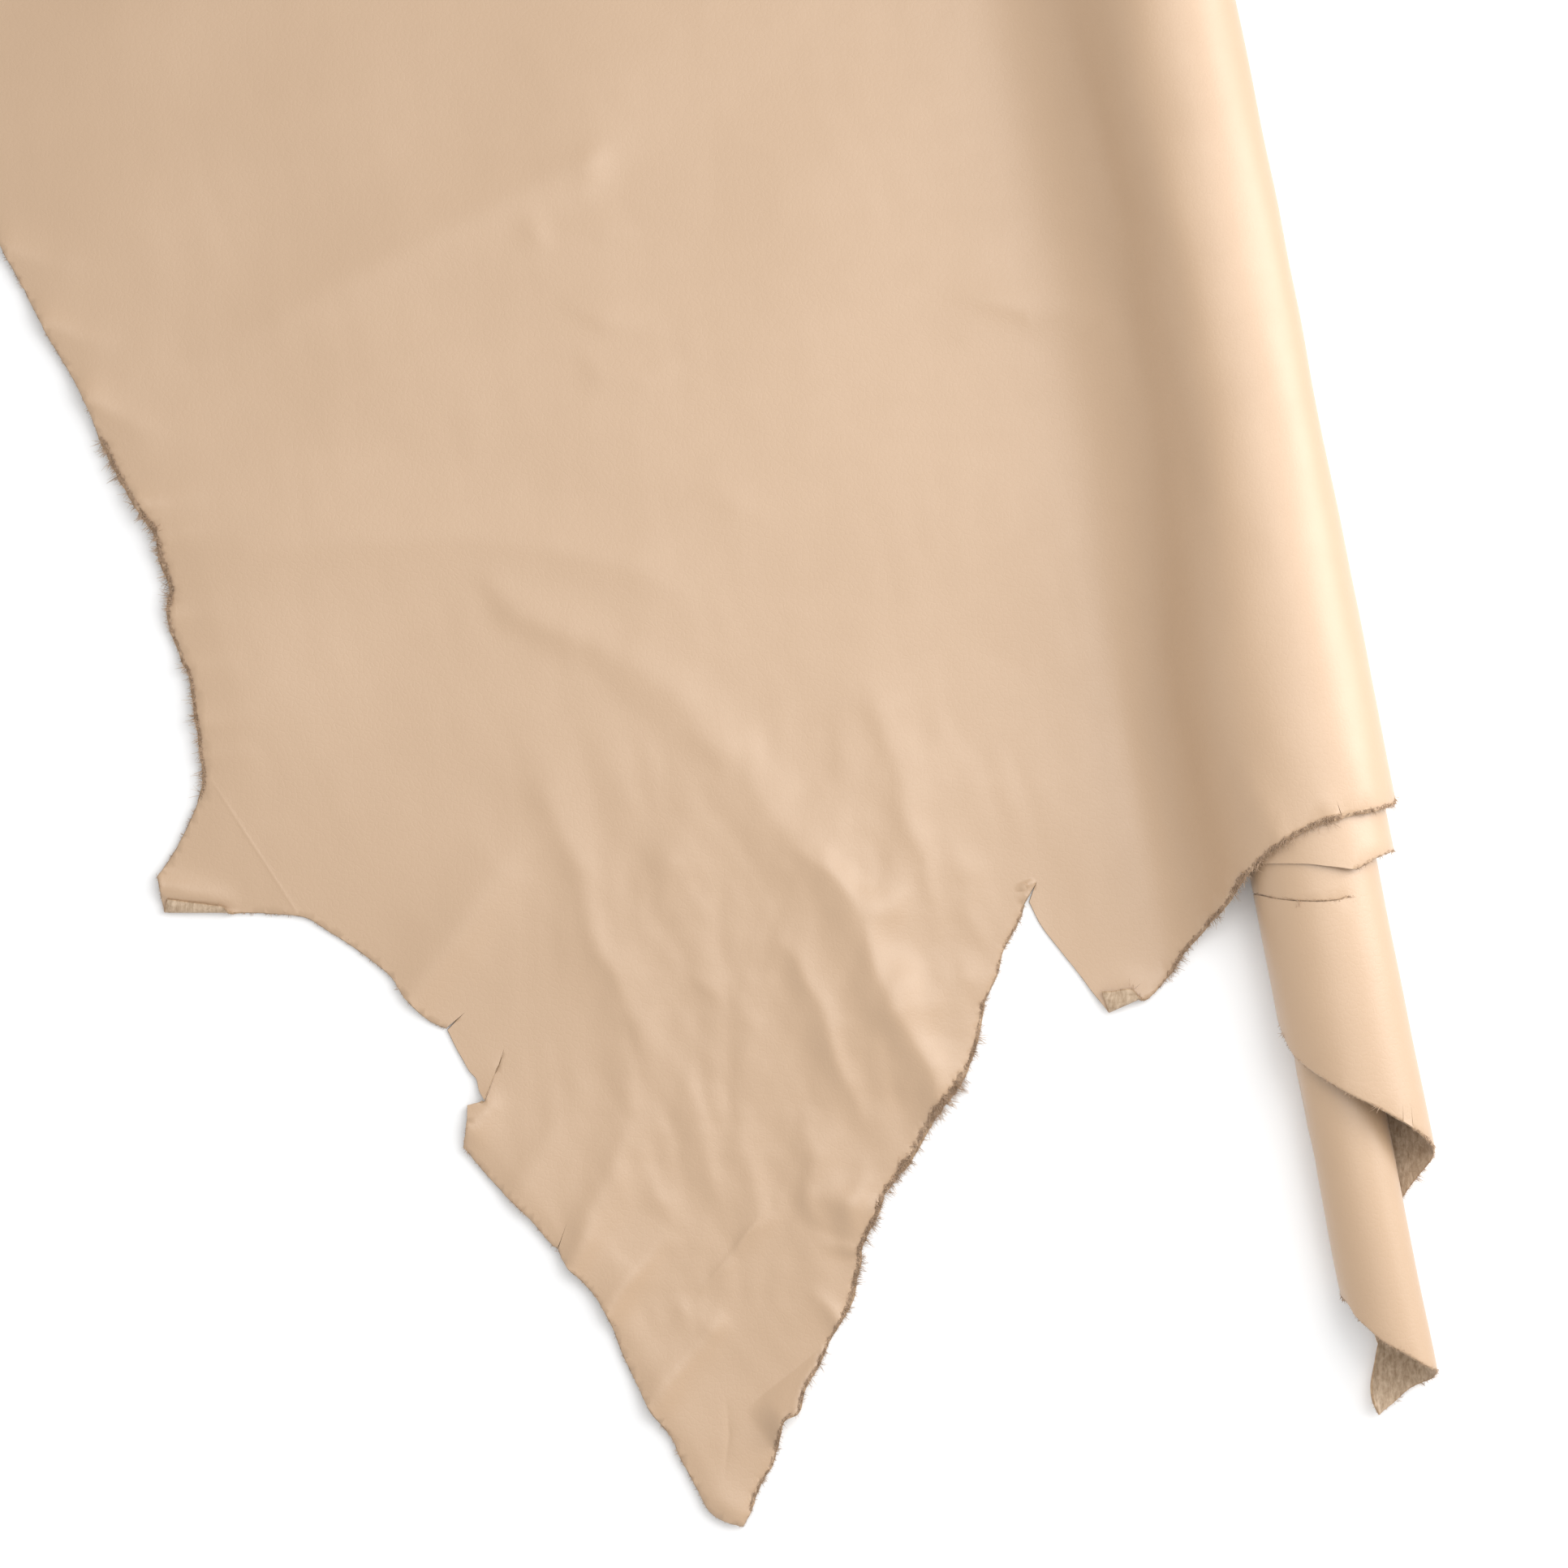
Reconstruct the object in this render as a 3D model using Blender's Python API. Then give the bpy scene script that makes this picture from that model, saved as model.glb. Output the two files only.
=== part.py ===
"""Leather hide, a whole cattle hide lying grain side up, with its right half rolled under.

The hide is one sheet, so it is one closed solid. The script draws the hide's edge on a plan, fills the plan with
triangles, lays it out through the roll's cross-section, and gives it its thickness.

Plan and world: X is to the right and Y is toward the neck, as seen from above. On the plan, "across" runs square to the
roll and "along" runs down the roll toward the hind legs. "Wound" is the distance across the hide, measured on the sheet:
it equals "across" where the hide lies flat, and goes on growing around each turn. All tables are in millimetres.
"""

import math
from bisect import bisect_right
from collections import namedtuple

import bpy
from mathutils import Vector
from mathutils.geometry import delaunay_2d_cdt

MM = 0.001
THICKNESS = 1.8
HALF = THICKNESS / 2
ROLL_TILT = math.radians(11.3)
HIDE_CENTRE = (-173.3, 533.0)

# The ramp, where the sheet leaves the surface and climbs over the roll. Its start is a fixed line, and its bend moves.
RAMP_START = 205.0
RAMP_BEND_HIND = (0.45, 0.60)
RAMP_BEND_FRONT = (0.72, 0.38)
RAMP_SLACK = 1.06

# The roll is thick at the hind end and thinner from the belly on. It sags where its outer turns are cut away.
THICK_UNTIL = 35.0
THIN_FROM = -210.0
THIN_SHARE = 0.83
SAG_FROM = 100.0
SAG_SLOPE = 0.034
FLAT_SPOT = 12.0

# Spacing of the plan's columns and rows.
FLAT_STEP = 30.0
ROLL_ROW_STEP = 120.0
RAMP_PARTS = 8
QUARTER_PARTS = (5, 5, 5, 4, 4)
EDGE_STEP = 20.0
ROW_MARGIN = 10.0
SNAP = 2.0
SAME = 1e-4
HALVINGS = 40
SLOPE_STEP = 0.5
SHARP_ANGLE = math.radians(50)

# The roll's turns from the outside in, at the thick end: the furthest point of the sheet's middle on each side.
Turn = namedtuple("Turn", "top top_z right right_z bottom bottom_z left left_z")
TURNS = (
    Turn(306.0, 75.0, 365.6, 34.0, 318.0, HALF, 265.0, 33.0),
    Turn(311.0, 66.5, 358.4, 34.0, 316.0, 5.7, 270.5, 34.0),
    Turn(310.0, 59.0, 347.0, 34.0, 312.0, 10.6, 275.0, 33.0),
    Turn(301.0, 49.0, 322.0, 32.0, 301.0, 15.0, 280.0, 31.0),
    Turn(298.0, 43.0, 315.0, 30.5, 298.0, 19.5, 285.5, 30.5),
)

# Soft folds of the flat part: a low ridge from one point to another, with its half width and its height.
Fold = namedtuple("Fold", "x0 y0 x1 y1 half_width height")
FOLDS = (
    Fold(-368, 248, -123, 375, 40, 5.0),
    Fold(-153, 340, -118, 378, 22, 4.0),
    Fold(-375, 155, -173, 155, 25, 5.0),
    Fold(-150, 130, -30, 45, 22, 4.0),
    Fold(-188, 113, -63, 28, 22, 4.0),
    Fold(54, 58, 82, -22, 18, 6.0),
    Fold(37, -82, 87, -167, 18, 8.0),
    Fold(-33, -17, 22, -72, 18, 5.0),
    Fold(-203, -137, -158, -77, 16, 7.0),
    Fold(-58, -142, -43, -317, 18, 6.0),
    Fold(-3, -167, 17, -267, 16, 5.0),
    Fold(107, -182, 62, -252, 14, 7.0),
    Fold(-133, -297, -88, -367, 14, 6.0),
    Fold(-193, -167, -190, -215, 12, 6.0),
    Fold(-433, 243, -393, 168, 18, 7.0),
    Fold(-473, 313, -455, 280, 15, 5.0),
    Fold(-363, 68, -358, 8, 14, 5.0),
    Fold(-383, -62, -353, -72, 14, 8.0),
    Fold(195, -135, 222, -132, 10, 6.0),
    Fold(-43, -442, -26, -452, 15, 6.0),
    Fold(132, 308, 190, 283, 20, 4.0),
    Fold(-560, 590, -330, 760, 40, 6.0),
    Fold(-700, 960, -520, 900, 32, 7.0),
    Fold(-290, 1210, -60, 1010, 40, 6.0),
)
FOLD_CUT = 0.2
FOLD_END = 18.0

# The edge of the flat part, point by point, in world millimetres before centring. A corner ends a smooth stretch.
Point = namedtuple("Point", "x y corner")
NECK_AND_FORELEG = (
    Point(-141, 1473, False),
    Point(-274, 1424, True),
    Point(-304, 1367, False),
    Point(-330, 1270, False),
    Point(-402, 1169, False),
    Point(-503, 1087, False),
    Point(-627, 1042, False),
    Point(-734, 1041, True),
    Point(-748, 1003, True),
    Point(-683, 909, False),
    Point(-623, 819, False),
    Point(-593, 723, False),
    Point(-570, 574, False),
    Point(-528, 430, False),
)
BELLY = (
    Point(-483, 333, False),
    Point(-451, 273, False),
    Point(-421, 213, False),
    Point(-387, 153, False),
    Point(-378, 123, False),
    Point(-377, 94, False),
    Point(-365, 63, False),
    Point(-357, 3, False),
    Point(-367, -27, False),
    Point(-385, -57, True),
    Point(-380, -79, True),
    Point(-338, -78, False),
    Point(-293, -82, False),
    Point(-262, -102, False),
    Point(-233, -132, False),
    Point(-208, -150, True),
)
LEG_OUTER_EDGE = (
    Point(-193, -178, False),
    Point(-188, -190, True),
    Point(-194, -200, False),
    Point(-197, -223, True),
    Point(-157, -267, False),
    Point(-118, -312, False),
    Point(-96, -357, False),
    Point(-69, -402, False),
    Point(-46, -447, True),
    Point(-25, -457, True),
)
LEG_INNER_EDGE = (
    Point(-6, -417, False),
    Point(13, -372, False),
    Point(43, -312, False),
    Point(56, -267, False),
    Point(91, -207, False),
    Point(117, -162, False),
    Point(134, -102, False),
    Point(149, -67, True),
)
RUMP_EDGE = (
    Point(170, -102, False),
    Point(197, -139, True),
    Point(224, -132, True),
)

# The edge of the rolled part. Each point is on the upper or the lower half of a turn, at its place as seen from above.
Wound = namedtuple("Wound", "turn half across along corner")
TURN_0_EDGE = (
    Wound(0, "upper", 210, 161, False),
    Wound(0, "upper", 238, 136, False),
    Wound(0, "upper", 265, 111, False),
    Wound(0, "upper", 283, 99, False),
    Wound(0, "upper", 316, 88, False),
    Wound(0, "upper", 357, 86, False),
    Wound(0, "lower", 330, 92, False),
    Wound(0, "lower", 280, 99, False),
)
TURN_1_EDGE = (
    Wound(1, "upper", 274, 104, False),
    Wound(1, "upper", 301, 110, False),
    Wound(1, "upper", 331, 119, True),
    Wound(1, "upper", 357, 113, False),
    Wound(1, "lower", 330, 114, False),
    Wound(1, "lower", 276, 121, False),
)
TURN_2_SLIT = (
    Wound(2, "upper", 285, 128, False),
    Wound(2, "upper", 325, 135, True),
    Wound(2, "upper", 285, 131, False),
    Wound(1, "lower", 276, 127, False),
    Wound(1, "lower", 290, 145, True),
    Wound(1, "lower", 287, 172, True),
)
TURN_2_EDGE = (
    Wound(2, "upper", 272, 214, False),
    Wound(2, "upper", 286, 239, False),
    Wound(2, "upper", 316, 264, False),
    Wound(2, "upper", 344, 290, False),
    Wound(2, "lower", 345, 303, False),
    Wound(2, "lower", 324, 323, False),
    Wound(2, "lower", 284, 364, False),
)
TURN_3_EDGE = (
    Wound(3, "upper", 280, 388, False),
    Wound(3, "upper", 293, 406, False),
    Wound(3, "upper", 317, 427, False),
    Wound(3, "lower", 321, 435, False),
    Wound(3, "lower", 304, 440, False),
    Wound(3, "lower", 284, 451, True),
    Wound(3, "lower", 281, 441, False),
    Wound(3, "lower", 285, 424, False),
    Wound(3, "lower", 291, 408, True),
)
HIDDEN_LEG_EDGE = (
    Wound(3, "lower", 286, 380, False),
    Wound(4, "upper", 298, 330, False),
    Wound(4, "lower", 305, 250, False),
    Wound(4, "lower", 287, 160, True),
)
HIDDEN_BELLY_EDGE = (
    Wound(4, "lower", 287, -1080, True),
)
NECK_IN_ROLL = (
    Wound(4, "upper", 298, -1150, False),
    Wound(3, "lower", 301, -1205, False),
    Wound(2, "lower", 312, -1300, False),
    Wound(2, "upper", 310, -1400, False),
    Wound(1, "lower", 316, -1455, True),
    Wound(1, "upper", 311, -1474, False),
    Wound(0, "lower", 318, -1480, False),
    Wound(0, "upper", 306, -1478, False),
)


def quarter_length(width, height):
    """Length of a quarter of an ellipse, by the mean of its squared half axes."""
    return math.pi / 2 * math.sqrt((width ** 2 + height ** 2) / 2)


# A quarter of a turn runs from level to upright, from upright to level, or straight along the flat spot.
Quarter = namedtuple("Quarter", "turn half first last run")


def quarters():
    """Each quarter turn from the ramp's top inward: its turn, its first and last point, and how it runs."""
    found = []
    for number, turn in enumerate(TURNS):
        spot = FLAT_SPOT / 2 if number == 0 else 0.0
        top = (turn.top, turn.top_z)
        right = (turn.right, turn.right_z)
        before_bottom = (turn.bottom + spot, turn.bottom_z)
        after_bottom = (turn.bottom - spot, turn.bottom_z)
        left = (turn.left, turn.left_z)
        if number:
            found.append(Quarter(number, "upper", previous_left, top, "from upright"))
        found.append(Quarter(number, "upper", top, right, "from level"))
        found.append(Quarter(number, "lower", right, before_bottom, "from upright"))
        if spot:
            found.append(Quarter(number, "lower", before_bottom, after_bottom, "straight"))
        found.append(Quarter(number, "lower", after_bottom, left, "from level"))
        previous_left = left
    return found


QUARTERS = quarters()
RAMP_LENGTH = math.hypot(TURNS[0].top - RAMP_START, TURNS[0].top_z) * RAMP_SLACK


def wound_knots():
    """Wound distance at the ramp's start, at its top, and after each quarter."""
    knots = [RAMP_START, RAMP_START + RAMP_LENGTH]
    for quarter in QUARTERS:
        width = abs(quarter.last[0] - quarter.first[0])
        height = abs(quarter.last[1] - quarter.first[1])
        length = width if quarter.run == "straight" else quarter_length(width, height)
        knots.append(knots[-1] + length)
    return knots


KNOTS = wound_knots()


def smooth_step(value):
    """0 below 0, 1 above 1, and an even rise between."""
    share = min(max(value, 0.0), 1.0)
    return share * share * (3 - 2 * share)


def thin_share(along):
    """0 at the roll's thick hind end and 1 where it is thin."""
    return smooth_step((THICK_UNTIL - along) / (THICK_UNTIL - THIN_FROM))


def bezier(p0, p1, p2, p3, share):
    """One coordinate of a cubic Bezier curve."""
    rest = 1 - share
    return rest ** 3 * p0 + 3 * rest ** 2 * share * p1 + 3 * rest * share ** 2 * p2 + share ** 3 * p3


def fold_height(x, y):
    """Height of the flat part over the surface at a place on the plan."""
    total = 0.0
    for fold in FOLDS:
        run_x = fold.x1 - fold.x0
        run_y = fold.y1 - fold.y0
        length = math.hypot(run_x, run_y)
        share = ((x - fold.x0) * run_x + (y - fold.y0) * run_y) / length ** 2
        aside = ((x - fold.x0) * run_y - (y - fold.y0) * run_x) / length
        beyond = max(-share, share - 1, 0.0) * length
        reach = (aside / fold.half_width) ** 2 + (beyond / FOLD_END) ** 2
        total += fold.height * math.exp(-reach)
    return max(total - FOLD_CUT, 0.0)


def world(across, along):
    """Plan place to world X and Y in millimetres, before centring."""
    x = across * math.cos(ROLL_TILT) + along * math.sin(ROLL_TILT)
    y = across * math.sin(ROLL_TILT) - along * math.cos(ROLL_TILT)
    return x, y


def plan(x, y):
    """World X and Y to the plan's across and along."""
    across = x * math.cos(ROLL_TILT) + y * math.sin(ROLL_TILT)
    along = x * math.sin(ROLL_TILT) - y * math.cos(ROLL_TILT)
    return across, along


def section(wound, along):
    """Where the middle of the sheet is: across and height, for a wound distance and a place along the roll."""
    if wound <= RAMP_START:
        x, y = world(wound, along)
        return wound, HALF + fold_height(x, y)
    thin = thin_share(along)
    scale = 1 - (1 - THIN_SHARE) * thin
    edge = TURNS[0].right
    piece = min(bisect_right(KNOTS, wound) - 1, len(KNOTS) - 2)
    share = (wound - KNOTS[piece]) / (KNOTS[piece + 1] - KNOTS[piece])
    if piece == 0:
        top = edge - (edge - TURNS[0].top) * scale
        top_z = TURNS[0].top_z * scale
        span = top - RAMP_START
        leave = RAMP_BEND_HIND[0] + (RAMP_BEND_FRONT[0] - RAMP_BEND_HIND[0]) * thin
        arrive = RAMP_BEND_HIND[1] + (RAMP_BEND_FRONT[1] - RAMP_BEND_HIND[1]) * thin
        across = bezier(RAMP_START, RAMP_START + leave * span, top - arrive * span, top, share)
        height = bezier(HALF, HALF, top_z, top_z, share)
        return across, height
    first, last, run = QUARTERS[piece - 1][2:]
    turned = share * math.pi / 2
    if run == "straight":
        across = first[0] + (last[0] - first[0]) * share
        height = first[1]
    elif run == "from level":
        across = first[0] + (last[0] - first[0]) * math.sin(turned)
        height = last[1] + (first[1] - last[1]) * math.cos(turned)
    else:
        across = last[0] + (first[0] - last[0]) * math.cos(turned)
        height = first[1] + (last[1] - first[1]) * math.sin(turned)
    sag = max(along - SAG_FROM, 0.0) * SAG_SLOPE
    return edge - (edge - across) * scale, HALF + (height - HALF) * scale - sag


def middle(wound, along):
    """World place of the middle of the sheet."""
    across, height = section(wound, along)
    x, y = world(across, along)
    return Vector((x - HIDE_CENTRE[0], y - HIDE_CENTRE[1], height))


def grain_normal(wound, along):
    """Direction out of the grain side."""
    over = middle(wound + SLOPE_STEP, along) - middle(wound - SLOPE_STEP, along)
    down = middle(wound, along + SLOPE_STEP) - middle(wound, along - SLOPE_STEP)
    return down.cross(over).normalized()


def half_span(turn, half):
    """First and last wound distance of a turn's upper or lower half. The ramp belongs to the first turn's upper half."""
    marks = [RAMP_START, KNOTS[1]] if (turn, half) == (0, "upper") else []
    for quarter, start, end in zip(QUARTERS, KNOTS[1:], KNOTS[2:]):
        if (quarter.turn, quarter.half) == (turn, half):
            marks += [start, end]
    return marks[0], marks[-1]


def wound_at(point):
    """Wound distance of a point given as seen from above, by halving its half turn."""
    low, high = half_span(point.turn, point.half)
    rising = 1 if point.half == "upper" else -1
    scale = 1 - (1 - THIN_SHARE) * thin_share(point.along)
    edge = TURNS[0].right
    target = edge - (edge - point.across) * scale if point.turn or point.half == "lower" else point.across
    for _ in range(HALVINGS):
        centre = (low + high) / 2
        if (section(centre, point.along)[0] - target) * rising < 0:
            low = centre
        else:
            high = centre
    return (low + high) / 2


def edge_points():
    """The whole edge as (wound, along, corner), once round."""
    found = []
    for stretch in (NECK_AND_FORELEG, BELLY, LEG_OUTER_EDGE, LEG_INNER_EDGE, RUMP_EDGE):
        for point in stretch:
            found.append((*plan(point.x, point.y), point.corner))
    rolled = (TURN_0_EDGE, TURN_1_EDGE, TURN_2_SLIT, TURN_2_EDGE, TURN_3_EDGE)
    for stretch in rolled + (HIDDEN_LEG_EDGE, HIDDEN_BELLY_EDGE, NECK_IN_ROLL):
        for point in stretch:
            found.append((wound_at(point), point.along, point.corner))
    return found


def smooth_edge(points, step):
    """A smooth line through the edge's points, broken at its corners, with a point about every step."""
    line = []
    count = len(points)
    for index, (wound, along, corner) in enumerate(points):
        following = points[(index + 1) % count]
        start = Vector((wound, along))
        end = Vector(following[:2])
        before = start if corner else Vector(points[index - 1][:2])
        after = end if following[2] else Vector(points[(index + 2) % count][:2])
        length = (end - start).length
        parts = max(1, round(length / step))
        lead = (end - before) / ((end - start).length + (start - before).length) * length
        trail = (after - start) / ((after - end).length + length) * length
        for part in range(parts):
            share = part / parts
            line.append(
                Vector(
                    bezier(start[axis], start[axis] + lead[axis] / 3, end[axis] - trail[axis] / 3, end[axis], share)
                    for axis in range(2)
                )
            )
    return line


def columns(leftmost):
    """Wound distances of the plan's columns, from the hide's left edge to the middle of the roll."""
    count = math.ceil((RAMP_START - leftmost) / FLAT_STEP)
    found = [RAMP_START - FLAT_STEP * number for number in range(count, -1, -1)]
    spans = [(KNOTS[0], KNOTS[1], RAMP_PARTS)]
    for quarter, start, end in zip(QUARTERS, KNOTS[1:], KNOTS[2:]):
        spans.append((start, end, 1 if quarter.run == "straight" else QUARTER_PARTS[quarter.turn]))
    for start, end, parts in spans:
        found += [start + (end - start) * part / parts for part in range(1, parts + 1)]
    return found


def snap_to_columns(line, lines_at):
    """The edge with each point that lies very near a column moved onto it."""
    snapped = []
    for point in line:
        nearest = min(lines_at, key=lambda wound: abs(wound - point.x))
        wound = nearest if abs(nearest - point.x) < SNAP else point.x
        snapped.append(Vector((wound, point.y)))
    return snapped


def cut_at_columns(line, lines_at):
    """The edge with a point wherever it crosses a column, and the marks on each column of the points that do."""
    cut = []
    crossings = {wound: [] for wound in lines_at}
    for index, start in enumerate(line):
        end = line[(index + 1) % len(line)]
        cut.append(start)
        crossed = [wound for wound in lines_at if (start.x > wound + SAME) != (end.x > wound + SAME)]
        for wound in sorted(crossed, reverse=start.x > end.x):
            if abs(wound - start.x) < SAME:
                crossings[wound].append(len(cut) - 1)
            elif abs(wound - end.x) < SAME:
                crossings[wound].append(len(cut) if index + 1 < len(line) else 0)
            else:
                share = (wound - start.x) / (end.x - start.x)
                cut.append(Vector((wound, start.y + (end.y - start.y) * share)))
                crossings[wound].append(len(cut) - 1)
    return cut, crossings


def fill_plan(line):
    """The plan's points, its triangles, and how many of the points are its edge in order."""
    lines_at = columns(min(point.x for point in line))
    points, crossings = cut_at_columns(snap_to_columns(line, lines_at), lines_at)
    edge_count = len(points)
    links = [(index, (index + 1) % edge_count) for index in range(edge_count)]
    for wound, marks in crossings.items():
        step = FLAT_STEP if wound <= RAMP_START else ROLL_ROW_STEP
        marks.sort(key=lambda index: points[index].y)
        for first, last in zip(marks[::2], marks[1::2]):
            chain = [first]
            row = math.ceil((points[first].y + ROW_MARGIN) / step)
            while row * step < points[last].y - ROW_MARGIN:
                points.append(Vector((wound, row * step)))
                chain.append(len(points) - 1)
                row += 1
            chain.append(last)
            links += zip(chain, chain[1:])
    kept, _, faces, origins = delaunay_2d_cdt(points, links, [], 1, SAME)[:4]
    if len(kept) != len(points):
        raise ValueError(f"the plan's edge crosses itself: {len(points)} points became {len(kept)}")
    order = [source[0] for source in origins]
    return points, [[order[index] for index in face] for face in faces], edge_count


def build_sheet():
    """Vertices in metres and outward faces of the hide."""
    points, triangles, edge_count = fill_plan(smooth_edge(edge_points(), EDGE_STEP))
    grain_side = []
    flesh_side = []
    for point in points:
        place = middle(point.x, point.y)
        out = grain_normal(point.x, point.y)
        grain_side.append((place + out * HALF) * MM)
        flesh_side.append((place - out * HALF) * MM)
    count = len(points)
    faces = []
    for first, second, third in triangles:
        a, b, c = points[first], points[second], points[third]
        if (b - a).cross(c - a) > 0:
            second, third = third, second
        faces.append((first, second, third))
        faces.append((first + count, third + count, second + count))
    turning = sum(points[index - 1].cross(points[index]) for index in range(edge_count))
    for index in range(edge_count):
        following = (index + 1) % edge_count
        near, far = (index, following) if turning > 0 else (following, index)
        faces.append((near, far, far + count))
        faces.append((near, far + count, near + count))
    return grain_side + flesh_side, faces


def leather_material():
    """Natural vegetable-tan leather: pale tan, with a soft sheen."""
    material = bpy.data.materials.new("natural_leather")
    material.use_nodes = True
    shader = material.node_tree.nodes["Principled BSDF"]
    shader.inputs["Base Color"].default_value = (0.64, 0.47, 0.33, 1.0)
    shader.inputs["Roughness"].default_value = 0.55
    shader.inputs["Metallic"].default_value = 0.0
    return material


def build_hide():
    """The hide as one object."""
    vertices, faces = build_sheet()
    mesh = bpy.data.meshes.new("hide")
    mesh.from_pydata(vertices, [], faces)
    mesh.validate()
    mesh.materials.append(leather_material())
    mesh.shade_smooth()
    mesh.set_sharp_from_angle(angle=SHARP_ANGLE)
    hide = bpy.data.objects.new("hide", mesh)
    bpy.context.scene.collection.objects.link(hide)
    return hide


def main():
    """Clear the scene and build the hide."""
    for item in list(bpy.data.objects):
        bpy.data.objects.remove(item, do_unlink=True)
    build_hide()


main()
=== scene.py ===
import logging
import math
from dataclasses import dataclass, field
from enum import Enum
from typing import Iterable, NamedTuple

import bpy
import numpy as np
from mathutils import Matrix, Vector
from mathutils.geometry import delaunay_2d_cdt
from mathutils.kdtree import KDTree


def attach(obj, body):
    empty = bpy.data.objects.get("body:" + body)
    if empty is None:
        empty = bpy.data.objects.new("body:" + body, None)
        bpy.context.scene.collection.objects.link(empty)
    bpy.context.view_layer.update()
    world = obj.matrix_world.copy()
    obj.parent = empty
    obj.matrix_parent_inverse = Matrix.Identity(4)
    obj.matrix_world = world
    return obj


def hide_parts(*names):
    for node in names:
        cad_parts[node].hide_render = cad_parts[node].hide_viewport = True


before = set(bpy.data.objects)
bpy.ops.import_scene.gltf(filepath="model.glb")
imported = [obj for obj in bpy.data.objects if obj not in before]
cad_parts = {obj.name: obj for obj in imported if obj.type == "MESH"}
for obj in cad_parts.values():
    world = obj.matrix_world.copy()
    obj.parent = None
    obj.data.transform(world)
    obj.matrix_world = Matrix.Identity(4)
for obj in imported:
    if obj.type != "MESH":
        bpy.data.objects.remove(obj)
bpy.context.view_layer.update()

LOG = logging.getLogger("leather_hide")

# All tables are in millimetres, and what reaches Blender is in metres.
MM = 0.001
THICKNESS = 1.8
HALF = THICKNESS / 2
HIDE_CENTRE = (-173.3, 533.0)
ROLL_TILT = math.radians(11.3)
COS_TILT = math.cos(ROLL_TILT)
SIN_TILT = math.sin(ROLL_TILT)

Array = np.ndarray

# Least values that keep a division from failing.
TINY = 1e-6
TINIER = 1e-9
LEAST_BEND = 1e-4
LEAST_BAND = 0.1

# Close-set points along a crisp crease: their rows in half widths, their first place and their spacing.
CREASE_ROWS = (-2.4, -1.3, -0.6, 0.0, 0.6, 1.3, 2.4)
CREASE_INSET = 0.6
CREASE_STEP = 2.4

# Close-set points round a curl: rows before its bend, least rows on it, the turn between those in degrees,
# spacing of the rows past it, spacing along it, and how far they start before it and go on past its end.
CURL_ROWS_BEFORE = (-4.0, -2.0, -0.6)
CURL_LEAST_PARTS = 3
CURL_TURN_STEP = 20
CURL_ROW_STEP = 2.0
CURL_STEP = 1.8
CURL_BEFORE = 8.0
CURL_PAST = 4

# How far a lifted lip reaches over its slit, in millimetres, and past its mouth, as a share of its length.
LIP_MARGIN = 0.02
LIP_BEFORE = 0.04

# Steps for slopes on the section and on the sheet, and halvings in the search for a point of the roll.
SLOPE_STEP = 0.5
NORMAL_STEP = 0.4
HALVINGS = 36

# The grid: room before the ramp in spacings, hidden rows' spacing as a share of the unseen ones', and points
# that are tested at once. The plan is squeezed along the roll before it is filled, and points closer than the
# gap merge.
RAMP_ROOM = 0.6
HIDDEN_ROW_SHARE = 1.5
BLOCK_SIZE = 4000
SQUEEZE = 0.7
MERGE_GAP = 1e-5

# Least length of the fibres beside which the torn edge has its own rows of points.
BAND_FUZZ = 1.4

# A loose fibre: points along it, sides, how much thinner its tip is, the seed of the turn round itself, and the
# least height over the floor, in metres.
STRAND_POINTS = 3
STRAND_SIDES = 3
STRAND_TAPER = 0.8
SPIN_SEED = 7
FLOOR_GAP = 0.0001


class Half(Enum):
    """The half of a turn that a point of the edge lies on, as seen from above."""

    UPPER = "upper"
    LOWER = "lower"


class Run(Enum):
    """How a quarter of a turn runs."""

    FROM_LEVEL = 0
    FROM_UPRIGHT = 1
    STRAIGHT = 2


class Side(Enum):
    """Material slots of the hide's mesh."""

    GRAIN = 0
    FLESH = 1
    CUT_EDGE = 2


class Turn(NamedTuple):
    """The furthest points of one turn of the roll: across the roll, and height."""

    top: float
    top_z: float
    right: float
    right_z: float
    bottom: float
    bottom_z: float
    left: float
    left_z: float


class Quarter(NamedTuple):
    """A quarter of a turn, from its first to its last point."""

    turn: int
    half: Half
    first: tuple[float, float]
    last: tuple[float, float]
    run: Run


class Flat(NamedTuple):
    """A point of the hide's edge where it lies flat, in world millimetres before centring."""

    x: float
    y: float
    corner: bool = False


class Wound(NamedTuple):
    """A point of the hide's edge on a turn of the roll."""

    turn: int
    half: Half
    across: float
    along: float
    corner: bool = False


class Spot(NamedTuple):
    """A point of a soft ridge, in world millimetres before centring. A negative height makes a trough."""

    x: float
    y: float
    half_width: float
    height: float


class FineArea(NamedTuple):
    """A round place with a finer grid: world X and Y of its middle, its radius and its spacing."""

    x: float
    y: float
    radius: float
    step: float


def smooth_step(value: Array) -> Array:
    """Gives 0 below 0, 1 above 1, and an even rise between."""
    share = np.clip(value, 0.0, 1.0)
    return share * share * (3 - 2 * share)


def bezier(p0: Array, p1: Array, p2: Array, p3: Array, share: Array) -> Array:
    """Gives one coordinate of a cubic Bezier curve."""
    rest = 1 - share
    return rest**3 * p0 + 3 * rest**2 * share * p1 + 3 * rest * share**2 * p2 + share**3 * p3


def to_world(across: Array, along: Array) -> tuple[Array, Array]:
    """Turns a place on the plan into world X and Y, before centring."""
    return across * COS_TILT + along * SIN_TILT, across * SIN_TILT - along * COS_TILT


def to_plan(x: Array, y: Array) -> tuple[Array, Array]:
    """Turns world X and Y into the plan's across and along."""
    return x * COS_TILT + y * SIN_TILT, x * SIN_TILT - y * COS_TILT


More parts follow.
